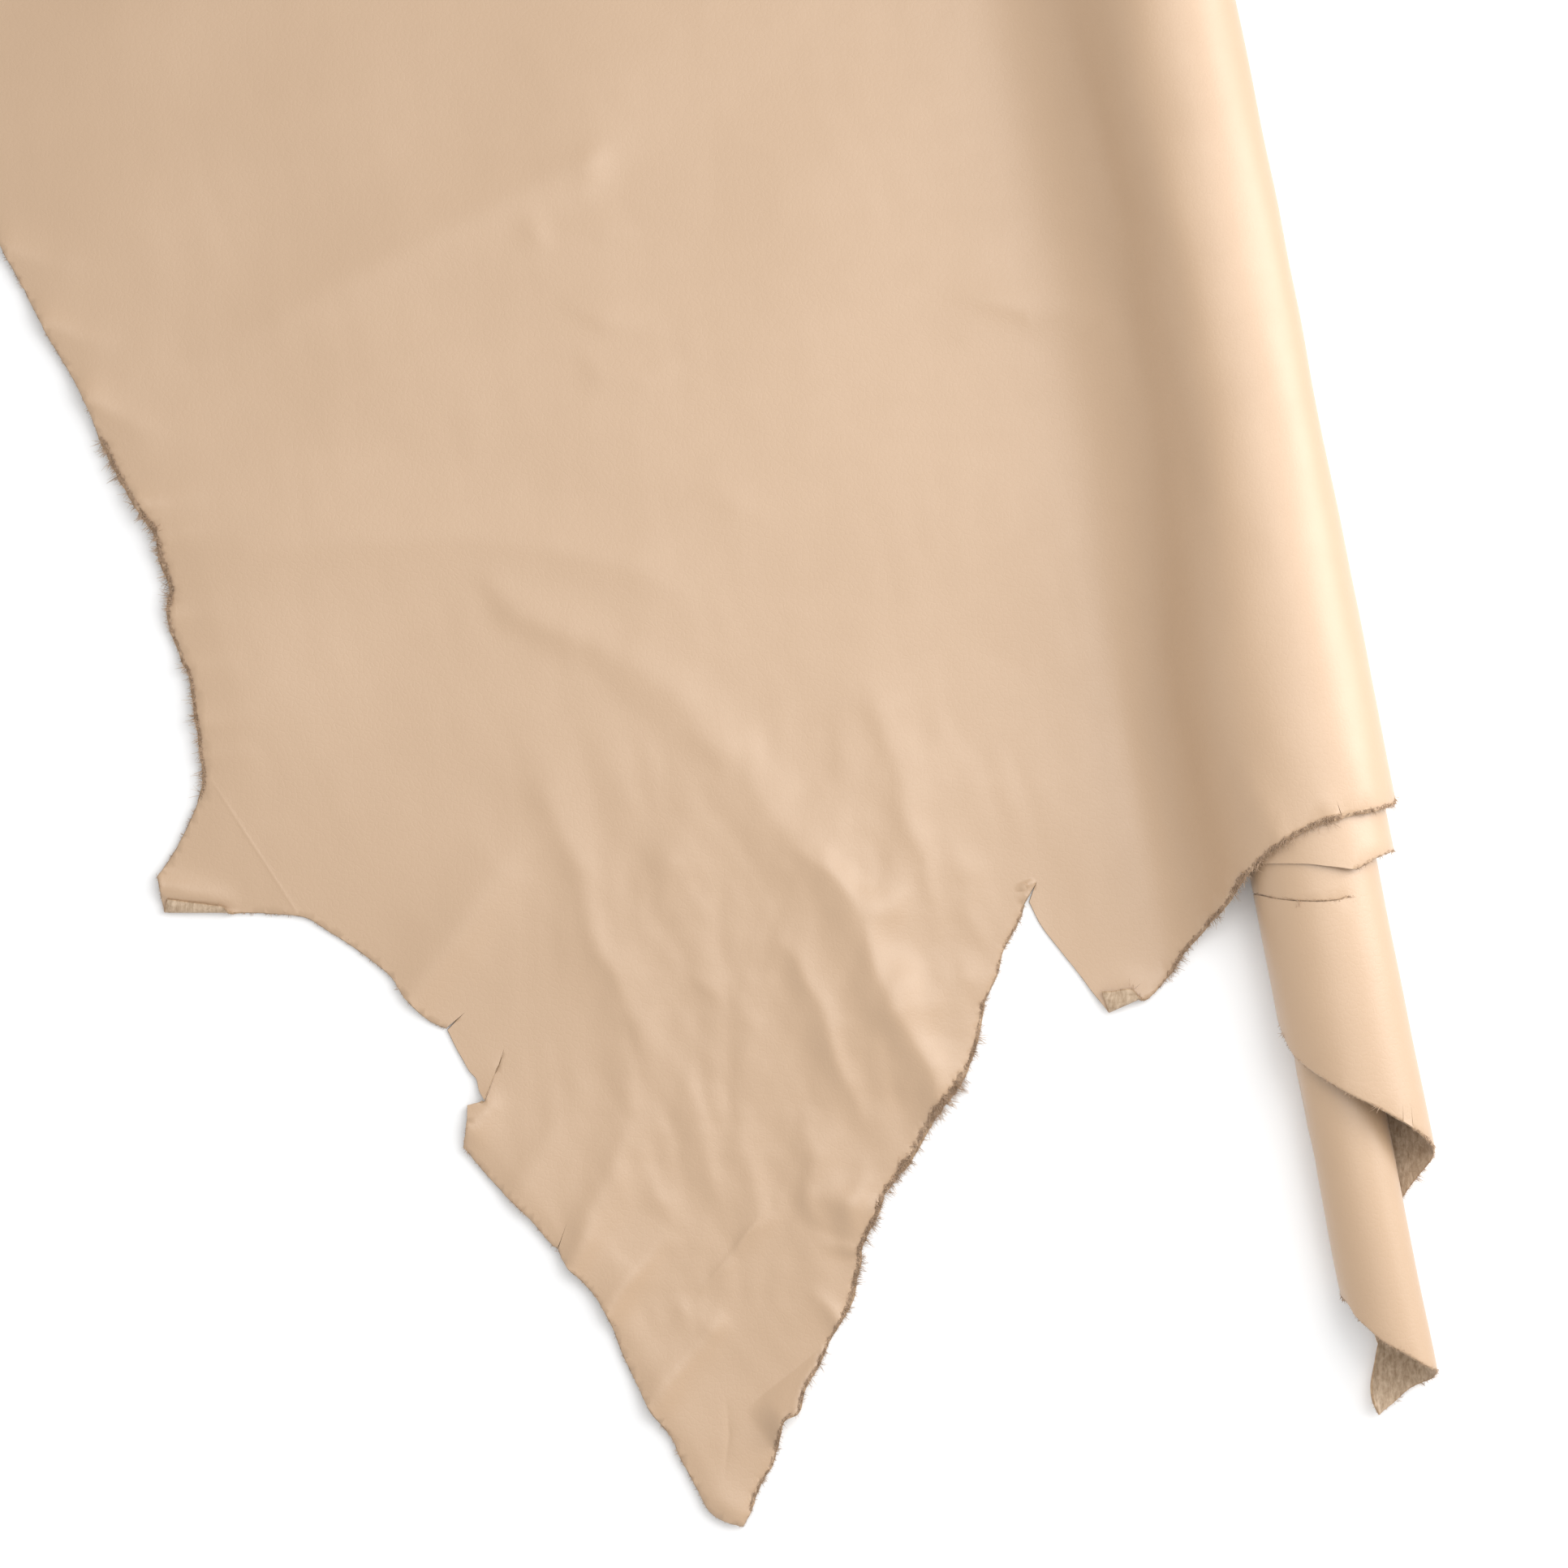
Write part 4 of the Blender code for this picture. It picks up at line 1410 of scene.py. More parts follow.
def new_group(
    name: str, inputs: dict[str, tuple[str, object]], outputs: dict[str, str]
) -> tuple[bpy.types.NodeTree, NodeBuilder, bpy.types.NodeOutputs]:
    """Makes a shader group with named sockets and nothing in it.

    Args:
        name: The group's name.
        inputs: For each input, its socket type and its default.
        outputs: For each output, its socket type.

    Returns:
        The group, its builder, and the sockets that give its inputs.
    """
    group = bpy.data.node_groups.new(name, "ShaderNodeTree")
    for label, (kind, value) in inputs.items():
        socket = group.interface.new_socket(label, in_out="INPUT", socket_type=kind)
        if value is not None:
            socket.default_value = value
    for label, kind in outputs.items():
        group.interface.new_socket(label, in_out="OUTPUT", socket_type=kind)
    build = NodeBuilder(group)
    return group, build, build.add("NodeGroupInput").outputs


FLOAT, COLOUR, VECTOR = "NodeSocketFloat", "NodeSocketColor", "NodeSocketVector"
TORN = "torn"


def blotch_group() -> bpy.types.NodeTree:
    """Makes the group that clouds a colour with broad tone and small mottle.

    Returns:
        The group.
    """
    group, build, given = new_group(
        "tanned_tone",
        {
            "Vector": (VECTOR, None),
            "Light": (COLOUR, (1, 1, 1, 1)),
            "Dark": (COLOUR, (0, 0, 0, 1)),
            "Broad Scale": (FLOAT, 4.0),
            "Fine Scale": (FLOAT, 60.0),
            "Fine Share": (FLOAT, 0.25),
        },
        {"Color": COLOUR, "Mask": FLOAT},
    )
    broad = build.add(
        "ShaderNodeTexNoise",
        {"Vector": given["Vector"], "Scale": given["Broad Scale"], "Detail": 3.0, "Roughness": 0.5},
    ).outputs["Fac"]
    fine = build.add(
        "ShaderNodeTexNoise",
        {"Vector": given["Vector"], "Scale": given["Fine Scale"], "Detail": 5.0, "Roughness": 0.6},
    ).outputs["Fac"]
    rest = build.math("SUBTRACT", 1.0, given["Fine Share"])
    fine_part = build.math("MULTIPLY", fine, given["Fine Share"])
    total = build.math("ADD", build.math("MULTIPLY", broad, rest), fine_part)
    mask = build.spread(total, 0.3, 0.7)
    colour = build.mix(mask, given["Light"], given["Dark"])
    build.add("NodeGroupOutput", {"Color": colour, "Mask": mask})
    return group


def pore_group() -> bpy.types.NodeTree:
    """Makes the group for the grain's own relief: pores, the net of fine creases, and drawn wrinkles.

    Returns:
        The group.
    """
    group, build, given = new_group(
        "hide_pores",
        {
            "Vector": (VECTOR, None),
            "Pore Scale": (FLOAT, 900.0),
            "Crease Scale": (FLOAT, 260.0),
            "Crease Share": (FLOAT, 0.5),
            "Wrinkle Share": (FLOAT, 0.5),
        },
        {"Height": FLOAT},
    )
    pores = build.add(
        "ShaderNodeTexVoronoi", {"Vector": given["Vector"], "Scale": given["Pore Scale"]}, feature="F1"
    ).outputs["Distance"]
    net = build.add(
        "ShaderNodeTexVoronoi",
        {"Vector": given["Vector"], "Scale": given["Crease Scale"]},
        feature="DISTANCE_TO_EDGE",
    ).outputs["Distance"]
    crease = build.math("MINIMUM", build.math("MULTIPLY", net, 6.0), 1.0)
    stretched = build.add(
        "ShaderNodeMapping",
        {"Vector": given["Vector"], "Rotation": (0.0, 0.0, math.radians(25)), "Scale": (1.0, 0.32, 1.0)},
    )
    wrinkle = build.add(
        "ShaderNodeTexNoise",
        {"Vector": stretched.outputs[0], "Scale": 170.0, "Detail": 4.0, "Roughness": 0.55, "Distortion": 0.6},
    ).outputs["Fac"]
    total = build.math("MULTIPLY", pores, 0.4)
    total = build.math("ADD", total, build.math("MULTIPLY", crease, given["Crease Share"]))
    total = build.math("ADD", total, build.math("MULTIPLY", wrinkle, given["Wrinkle Share"]))
    build.add("NodeGroupOutput", {"Height": total})
    return group


def nap_group() -> bpy.types.NodeTree:
    """Makes the group for loose fibre: streaks and tufts that lie in one direction.

    Returns:
        The group.
    """
    group, build, given = new_group(
        "fibre_nap",
        {"Vector": (VECTOR, None), "Streak Scale": (FLOAT, 440.0), "Tuft Scale": (FLOAT, 230.0)},
        {"Height": FLOAT},
    )
    laid_down = build.add(
        "ShaderNodeMapping",
        {"Vector": given["Vector"], "Rotation": (0.0, 0.0, math.radians(-20)), "Scale": (1.0, 0.25, 0.6)},
    )
    streak = build.add(
        "ShaderNodeTexNoise",
        {"Vector": laid_down.outputs[0], "Scale": given["Streak Scale"], "Detail": 6.0, "Roughness": 0.7},
    ).outputs["Fac"]
    tuft = build.add(
        "ShaderNodeTexNoise",
        {"Vector": given["Vector"], "Scale": given["Tuft Scale"], "Detail": 4.0, "Distortion": 1.2},
    ).outputs["Fac"]
    total = build.math("ADD", build.math("MULTIPLY", streak, 0.65), build.math("MULTIPLY", tuft, 0.35))
    build.add("NodeGroupOutput", {"Height": total})
    return group


@dataclass(frozen=True)
class ShaderGroups:
    """The effects that the finishes share.

    Attributes:
        tone: Clouded colour.
        pores: Relief of the grain.
        nap: Relief of loose fibre.
    """

    tone: bpy.types.NodeTree
    pores: bpy.types.NodeTree
    nap: bpy.types.NodeTree


@dataclass(frozen=True)
class GrainFinish:
    """The smooth, lightly finished outer side of natural vegetable-tanned leather.

    Attributes:
        light: Its lighter tone.
        dark: Its darker tone.
        torn_light: Lighter fibre, where the grain is torn away.
        torn_dark: Darker fibre there.
        roughness: Its usual roughness.
        sheen: Its sheen.
        coat: Weight of the thin finish that lies on it.
        coat_roughness: Roughness of that finish.
        gloss: How strongly it reflects.
        bump: Strength of its pores and fine creases.
        frayed_from: Where the torn band starts to show, on the sum of the band and the nap.
        frayed_full: Where it shows fully.
    """

    light: tuple[float, ...] = (0.463, 0.306, 0.183, 1.0)
    dark: tuple[float, ...] = (0.434, 0.284, 0.167, 1.0)
    torn_light: tuple[float, ...] = (0.62, 0.44, 0.29, 1.0)
    torn_dark: tuple[float, ...] = (0.23, 0.142, 0.08, 1.0)
    roughness: float = 0.46
    sheen: float = 0.12
    coat: float = 0.3
    coat_roughness: float = 0.42
    gloss: float = 0.92
    bump: float = 0.16
    frayed_from: float = 1.15
    frayed_full: float = 1.4

    def material(self, groups: ShaderGroups) -> bpy.types.Material:
        """Makes the material.

        Args:
            groups: The shared effects.

        Returns:
            The material.
        """
        material, build, shader = new_material("grain_side")
        place = build.add("ShaderNodeTexCoord").outputs["Object"]
        tone = build.add(
            "ShaderNodeGroup",
            {
                "Vector": place,
                "Light": self.light,
                "Dark": self.dark,
                "Broad Scale": 3.2,
                "Fine Scale": 46.0,
                "Fine Share": 0.3,
            },
            node_tree=groups.tone,
        ).outputs
        pores = build.add("ShaderNodeGroup", {"Vector": place}, node_tree=groups.pores).outputs["Height"]
        bump = build.add("ShaderNodeBump", {"Strength": self.bump, "Distance": 0.0004, "Height": pores})
        rough = build.add(
            "ShaderNodeMapRange",
            {"Value": tone["Mask"], "To Min": self.roughness - 0.04, "To Max": self.roughness + 0.05},
        )
        nap = build.add(
            "ShaderNodeGroup",
            {"Vector": place, "Streak Scale": 700.0, "Tuft Scale": 420.0},
            node_tree=groups.nap,
        ).outputs["Height"]
        worn = build.add("ShaderNodeAttribute", attribute_name=TORN).outputs["Fac"]
        frayed = build.math("ADD", worn, build.math("MULTIPLY", nap, 1.6))
        torn = build.spread(frayed, self.frayed_from, self.frayed_full)
        fibre = build.mix(build.spread(nap, 0.42, 0.6), self.torn_dark, self.torn_light)
        ruffled = build.add(
            "ShaderNodeBump",
            {"Strength": torn, "Distance": 0.0012, "Height": nap, "Normal": bump.outputs["Normal"]},
        )
        dull = build.math("ADD", rough.outputs["Result"], build.math("MULTIPLY", torn, 0.45))
        build.feed(shader.inputs["Base Color"], build.mix(torn, tone["Color"], fibre))
        build.feed(shader.inputs["Roughness"], dull)
        build.feed(shader.inputs["Normal"], ruffled.outputs["Normal"])
        shader.inputs["Sheen Weight"].default_value = self.sheen
        shader.inputs["Specular IOR Level"].default_value = self.gloss
        shader.inputs["Coat Weight"].default_value = self.coat
        shader.inputs["Coat Roughness"].default_value = self.coat_roughness
        return material


@dataclass(frozen=True)
class FibreFinish:
    """Bare fibre: the napped flesh side, the raw cut edge, or a loose fibre.

    Attributes:
        name: The material's name.
        light: Its lighter tone.
        dark: Its darker tone.
        bump: Strength of its nap.
        distance: Height of its nap, in metres.
        sheen: Its sheen.
        roughness: Its roughness.
        gloss: How strongly it reflects.
    """

    name: str
    light: tuple[float, ...]
    dark: tuple[float, ...]
    bump: float
    distance: float
    sheen: float = 0.25
    roughness: float = 0.92
    gloss: float = 0.2

    def material(self, groups: ShaderGroups) -> bpy.types.Material:
        """Makes the material.

        Args:
            groups: The shared effects.

        Returns:
            The material.
        """
        material, build, shader = new_material(self.name)
        place = build.add("ShaderNodeTexCoord").outputs["Object"]
        nap = build.add("ShaderNodeGroup", {"Vector": place}, node_tree=groups.nap).outputs["Height"]
        colour = build.mix(build.spread(nap, 0.38, 0.62), self.dark, self.light)
        bump = build.add(
            "ShaderNodeBump", {"Strength": self.bump, "Distance": self.distance, "Height": nap}
        )
        build.feed(shader.inputs["Base Color"], colour)
        build.feed(shader.inputs["Normal"], bump.outputs["Normal"])
        shader.inputs["Roughness"].default_value = self.roughness
        shader.inputs["Sheen Weight"].default_value = self.sheen
        shader.inputs["Specular IOR Level"].default_value = self.gloss
        return material


FLESH_SIDE = FibreFinish(
    "flesh_side", light=(0.55, 0.42, 0.30, 1), dark=(0.31, 0.215, 0.135, 1), bump=0.8, distance=0.0012
)
CUT_EDGE = FibreFinish(
    "cut_edge", light=(0.50, 0.35, 0.22, 1), dark=(0.24, 0.15, 0.085, 1), bump=0.8, distance=0.0009
)
LOOSE_FIBRE = FibreFinish(
    "loose_fibre", light=(0.60, 0.42, 0.28, 1), dark=(0.27, 0.168, 0.095, 1), bump=0.0, distance=0.0005
)


def new_material(name: str) -> tuple[bpy.types.Material, NodeBuilder, bpy.types.Node]:
    """Makes a material with nodes.

    Args:
        name: The material's name.

    Returns:
        The material, its builder and its Principled shader.
    """
    material = bpy.data.materials.new(name)
    material.use_nodes = True
    return material, NodeBuilder(material.node_tree), material.node_tree.nodes["Principled BSDF"]


@dataclass
class HideSheet:
    """The hide's sheet: a fine grain side, a plainer flesh side, and a raw edge between them.

    Attributes:
        form: The roll's form.
        line: The hide's edge.
        grain_grid: The grid of the grain side.
        flesh_grid: The grid of the flesh side.
        grain_clear: Room between the edge and the grain's grid, as a share of the edge's spacing.
        flesh_clear: The same for the flesh side.
        bulge: How far each row of the raw edge stands out, where 1 is furthest.
        bulge_least: How far the furthest row stands out of a clean cut.
        bulge_share: How much further it stands out for each millimetre of torn band.
        rim_heights: Height of each row, where 1 is the grain side and -1 the flesh side.
        torn_heights: The same where the grain is torn away.
        torn_depth: How deep the grain is torn away, as a share of half the thickness.
        band_rows: Distances of the rows of points along the torn edge.
        band_share: Greatest width of the torn band, as a share of the fibres' length.
        band_range: Least and greatest width, as shares of that.
        torn_from: Length of the fibres from which the grain is torn.
        torn_reach: How much longer they are where it is fully torn.
        torn_fade: How far past the band's width the tearing fades out, where 1 is its width.
        jitter: How uneven a fully rough edge is.
        sharp_angle: Angle from which the mesh's corners stay sharp, in degrees.
        seed: Seed of the torn band's width.
        rim_seed: Seed of the raw edge's rows, to which each adds its own.
    """

    form: RollForm
    line: EdgeLine
    grain_grid: PlanGrid
    flesh_grid: PlanGrid
    grain_clear: float = 0.5
    flesh_clear: float = 1.2
    bulge: tuple[float, ...] = (0.35, 0.85, 1.0)
    bulge_least: float = 0.35
    bulge_share: float = 0.25
    rim_heights: tuple[float, ...] = (0.75, 0.15, -0.7)
    torn_heights: tuple[float, ...] = (-0.3, -0.46, -0.7)
    torn_depth: float = 1.2
    band_rows: tuple[float, ...] = (1.1, 2.3, 3.7, 5.2)
    band_share: float = 0.9
    band_range: tuple[float, float] = (0.5, 1.0)
    torn_from: float = 1.3
    torn_reach: float = 0.8
    torn_fade: float = 1.25
    jitter: float = 0.2
    sharp_angle: float = 55.0
    seed: int = 9
    rim_seed: int = 1000

    def build(self) -> bpy.types.Object:
        """Builds the sheet's mesh and keeps its edge for the fibres.

        Returns:
            The sheet's object.
        """
        edge, self.edge_rough, self.edge_fuzz = self.line.points()
        self.edge_frame(edge)
        rng = np.random.default_rng(self.seed)
        self.band = self.edge_fuzz * self.band_share * rng.uniform(*self.band_range, len(edge))
        step = self.line.fine_step
        grain_inner = self.grain_grid.inside(edge, step * self.grain_clear, self.band_points(edge))
        flesh_inner = self.flesh_grid.inside(edge, step * self.flesh_clear, edge)
        LOG.info("edge %d, grain %d and flesh %d points", len(edge), len(grain_inner), len(flesh_inner))
        grain_faces = triangulate(edge, grain_inner)
        flesh_faces = triangulate(edge, flesh_inner)
        count = len(edge)
        torn = self.torn(edge, grain_inner)
        grain = self.offset(np.concatenate([edge, grain_inner]), HALF * (1 - self.torn_depth * torn))
        flesh = self.offset(np.concatenate([edge, flesh_inner]), np.full(count + len(flesh_inner), -HALF))
        rows = [np.arange(count)]
        blocks = [grain]
        start = len(grain)
        for bulge, height, low in zip(self.bulge, self.rim_heights, self.torn_heights):
            blocks.append(self.rim(bulge, (height + (low - height) * torn[:count]) * HALF))
            rows.append(np.arange(count) + start)
            start += count
        blocks.append(flesh)
        rows.append(np.arange(count) + start)
        rim_faces = self.strip(rows, self.is_clockwise(edge))
        faces = [grain_faces, rim_faces, flesh_faces[:, [0, 2, 1]] + start]
        sides = [Side.GRAIN, Side.CUT_EDGE, Side.FLESH]
        sheet = self.as_object(np.concatenate(blocks), faces, sides)
        worn = np.zeros(len(sheet.data.vertices), np.float32)
        worn[: len(torn)] = torn
        sheet.data.attributes.new(TORN, "FLOAT", "POINT").data.foreach_set("value", worn)
        return sheet

    def band_points(self, edge: Array) -> Array:
        """Gives rows of points that run along the torn edge, a little inside it.

        Args:
            edge: The edge's points.

        Returns:
            The points, as rows of wound and along.
        """
        tangent = np.roll(edge, -1, axis=0) - np.roll(edge, 1, axis=0)
        inward = np.stack([-tangent[:, 1], tangent[:, 0]], axis=1)
        inward /= np.maximum(np.linalg.norm(inward, axis=1, keepdims=True), TINY)
        if not self.is_clockwise(edge):
            inward = -inward
        rows = [
            edge[wide] + inward[wide] * distance
            for distance in self.band_rows
            for wide in [self.edge_fuzz > max(BAND_FUZZ, distance)]
        ]
        return np.concatenate(rows)

    def torn(self, edge: Array, inner: Array) -> Array:
        """Gives how far the grain is torn away, from 0 to 1.

        Args:
            edge: The edge's points.
            inner: The points inside it.

        Returns:
            The share at the edge's points, and then at the inner ones.
        """
        tree = plan_tree(edge)
        found = [tree.find((wound, along, 0)) for wound, along in inner]
        nearest = np.array([index for _, index, _ in found])
        gaps = np.array([gap for _, _, gap in found])
        open_edge = smooth_step((self.edge_fuzz - self.torn_from) / self.torn_reach)
        share = smooth_step(self.torn_fade - gaps / np.maximum(self.band[nearest], LEAST_BAND))
        return np.concatenate([open_edge, share * open_edge[nearest]])

    def edge_frame(self, edge: Array) -> None:
        """Works out where the edge lies in the world, and its outward and upward directions.

        Args:
            edge: The edge's points.
        """
        self.edge_middle = self.form.place(edge[:, 0], edge[:, 1])
        self.edge_up = self.form.normal(edge[:, 0], edge[:, 1])
        tangent = np.roll(self.edge_middle, -1, axis=0) - np.roll(self.edge_middle, 1, axis=0)
        out = np.cross(tangent, self.edge_up)
        out /= np.maximum(np.linalg.norm(out, axis=1, keepdims=True), TINIER)
        self.edge_out = out if not self.is_clockwise(edge) else -out

    @staticmethod
    def is_clockwise(edge: Array) -> bool:
        """Tells whether the edge runs clockwise as seen from the grain side.

        Args:
            edge: The edge's points.

        Returns:
            True where it does.
        """
        following = np.roll(edge, -1, axis=0)
        area = (edge[:, 0] * following[:, 1] - following[:, 0] * edge[:, 1]).sum()
        return bool(area > 0)

    def offset(self, plan: Array, distance: Array) -> Array:
        """Places points of the plan, each at its distance from the sheet's middle."""
        wound, along = plan[:, 0], plan[:, 1]
        return self.form.place(wound, along) + self.form.normal(wound, along) * distance[:, None]

    def rim(self, bulge: float, height: Array) -> Array:
        """Gives one row of the raw edge, which is as uneven as the edge is rough.

        Args:
            bulge: How far the row stands out, where 1 is furthest.
            height: Its height over the sheet's middle at each point.

        Returns:
            The row's places.
        """
        rng = np.random.default_rng(int(self.rim_seed + bulge * 100))
        jitter = rng.uniform(-self.jitter, self.jitter, len(self.edge_rough)) * self.edge_rough
        out = (bulge * (self.bulge_least + self.bulge_share * self.band) + jitter)[:, None]
        return self.edge_middle + self.edge_out * out + self.edge_up * height[:, None]

    @staticmethod
    def strip(rows: list[Array], clockwise: bool) -> Array:
        """Joins rows of the edge's points with triangles that face outward.

        Args:
            rows: Indices of each row's points, from the grain side down.
            clockwise: Whether the edge runs clockwise.

        Returns:
            The triangles.
        """
        faces = []
        for upper, lower in zip(rows, rows[1:]):
            near, far = upper, np.roll(upper, -1)
            below, far_below = lower, np.roll(lower, -1)
            if not clockwise:
                near, far, below, far_below = far, near, far_below, below
            faces.append(np.stack([near, far, far_below], axis=1))
            faces.append(np.stack([near, far_below, below], axis=1))
        return np.concatenate(faces)

    def as_object(self, points: Array, faces: list[Array], sides: list[Side]) -> bpy.types.Object:
        """Makes the object, with a material slot for each side.

        Args:
            points: The mesh's points, in millimetres.
            faces: The triangles of each block.
            sides: The side that each block belongs to.

        Returns:
            The object.
        """
        mesh = bpy.data.meshes.new("hide_sheet")
        triangles = np.concatenate(faces)
        mesh.from_pydata((points * MM).tolist(), [], triangles.tolist())
        slots = np.concatenate([np.full(len(block), side.value) for block, side in zip(faces, sides)])
        mesh.polygons.foreach_set("material_index", slots.astype(np.int32))
        mesh.shade_smooth()
        mesh.set_sharp_from_angle(angle=math.radians(self.sharp_angle))
        return new_object("hide_sheet", mesh)

    @staticmethod
    def dress(sheet: bpy.types.Object, groups: ShaderGroups) -> None:
        """Gives the sheet its finishes, in the order of its material slots."""
        for finish in (GrainFinish(), FLESH_SIDE, CUT_EDGE):
            sheet.data.materials.append(finish.material(groups))


def new_object(name: str, data: bpy.types.ID) -> bpy.types.Object:
    """Adds an object to the scene.

    Args:
        name: Its name.
        data: Its mesh, light or camera.

    Returns:
        The object.
    """
    made = bpy.data.objects.new(name, data)
    bpy.context.scene.collection.objects.link(made)
    return made


class StrandTree:
    """A Geometry Nodes tree that stands a bent, tapering fibre on each given point."""

    def __init__(self) -> None:
        """Makes the tree and its named inputs."""
        self.tree = bpy.data.node_groups.new("edge_fibres", "GeometryNodeTree")
        face = self.tree.interface
        face.new_socket("Geometry", in_out="INPUT", socket_type="NodeSocketGeometry")
        face.new_socket("Geometry", in_out="OUTPUT", socket_type="NodeSocketGeometry")
        self.sockets = {
            name: face.new_socket(name, in_out="INPUT", socket_type=kind).identifier
            for name, kind in (
                ("Thickness", FLOAT),
                ("Bend", FLOAT),
                ("Scatter", FLOAT),
                ("Seed", "NodeSocketInt"),
                ("Material", "NodeSocketMaterial"),
            )
        }
        self.fill()

    def strand(self, build: NodeBuilder, given: bpy.types.NodeOutputs) -> bpy.types.NodeSocket:
        """Makes one fibre a metre tall, bent to one side and tapered to its tip.

        Args:
            build: The tree's builder.
            given: The tree's inputs.

        Returns:
            The fibre's mesh.
        """
        line = build.add("GeometryNodeCurvePrimitiveLine", {"Start": (0, 0, 0), "End": (0, 0, 1)})
        divided = build.add("GeometryNodeResampleCurve", {"Curve": line.outputs[0], "Count": STRAND_POINTS})
        factor = build.add("GeometryNodeSplineParameter").outputs["Factor"]
        square = build.math("MULTIPLY", factor, factor)
        aside = build.add("ShaderNodeCombineXYZ", {"X": build.math("MULTIPLY", square, given["Bend"])})
        bent = build.add(
            "GeometryNodeSetPosition", {"Geometry": divided.outputs[0], "Offset": aside.outputs[0]}
        )
        taper = build.math("SUBTRACT", 1.0, build.math("MULTIPLY", factor, STRAND_TAPER))
        thin = build.add("GeometryNodeSetCurveRadius", {"Curve": bent.outputs[0], "Radius": taper})
        ring = build.add(
            "GeometryNodeCurvePrimitiveCircle", {"Resolution": STRAND_SIDES, "Radius": given["Thickness"]}
        )
        skin = build.add(
            "GeometryNodeCurveToMesh",
            {"Curve": thin.outputs[0], "Profile Curve": ring.outputs[0], "Fill Caps": True},
        )
        if "Scale" in skin.inputs:
            build.feed(skin.inputs["Scale"], taper)
        return skin.outputs[0]

    def facing(self, build: NodeBuilder, given: bpy.types.NodeOutputs) -> bpy.types.NodeSocket:
        """Turns each fibre to its own lean, scattered a little, and by chance round itself.

        Args:
            build: The tree's builder.
            given: The tree's inputs.

        Returns:
            The fibres' rotation.
        """
        lean = build.add("GeometryNodeInputNamedAttribute", {"Name": "lean"}, data_type="FLOAT_VECTOR")
        wild = build.add(
            "FunctionNodeRandomValue",
            {"Seed": given["Seed"], "Min": (-1, -1, -1), "Max": (1, 1, 1)},
            data_type="FLOAT_VECTOR",
        )
        strayed = build.add(
            "ShaderNodeVectorMath", {0: wild.outputs["Value"], "Scale": given["Scatter"]}, operation="SCALE"
        )
        aim = build.add(
            "ShaderNodeVectorMath", {0: lean.outputs["Attribute"], 1: strayed.outputs[0]}, operation="ADD"
        )
        upright = build.add("FunctionNodeAlignRotationToVector", {"Vector": aim.outputs[0]}, axis="Z")
        spin = build.add("FunctionNodeRandomValue", {"Seed": SPIN_SEED}, data_type="FLOAT")
        least, most = live(spin.inputs)[:2]
        least.default_value = 0.0
        most.default_value = math.tau
        angle = live(spin.outputs)[0]
        twist = build.add("FunctionNodeAxisAngleToRotation", {"Axis": (0, 0, 1), "Angle": angle})
        turned = build.add(
            "FunctionNodeRotateRotation", {0: upright.outputs[0], 1: twist.outputs[0]}, rotation_space="LOCAL"
        )
        return turned.outputs[0]

    def fill(self) -> None:
        """Adds the tree's nodes."""
        build = NodeBuilder(self.tree)
        given = build.add("NodeGroupInput").outputs
        reach = build.add("GeometryNodeInputNamedAttribute", {"Name": "reach"}, data_type="FLOAT")
        size = build.add("ShaderNodeCombineXYZ", {"X": 1.0, "Y": 1.0, "Z": live(reach.outputs)[0]})
        placed = build.add(
            "GeometryNodeInstanceOnPoints",
            {
                "Points": given["Geometry"],
                "Instance": self.strand(build, given),
                "Rotation": self.facing(build, given),
                "Scale": size.outputs[0],
            },
        )
        real = build.add("GeometryNodeRealizeInstances", {"Geometry": placed.outputs[0]})
        dressed = build.add(
            "GeometryNodeSetMaterial", {"Geometry": real.outputs[0], "Material": given["Material"]}
        )
        build.add("NodeGroupOutput", {"Geometry": dressed.outputs[0]})


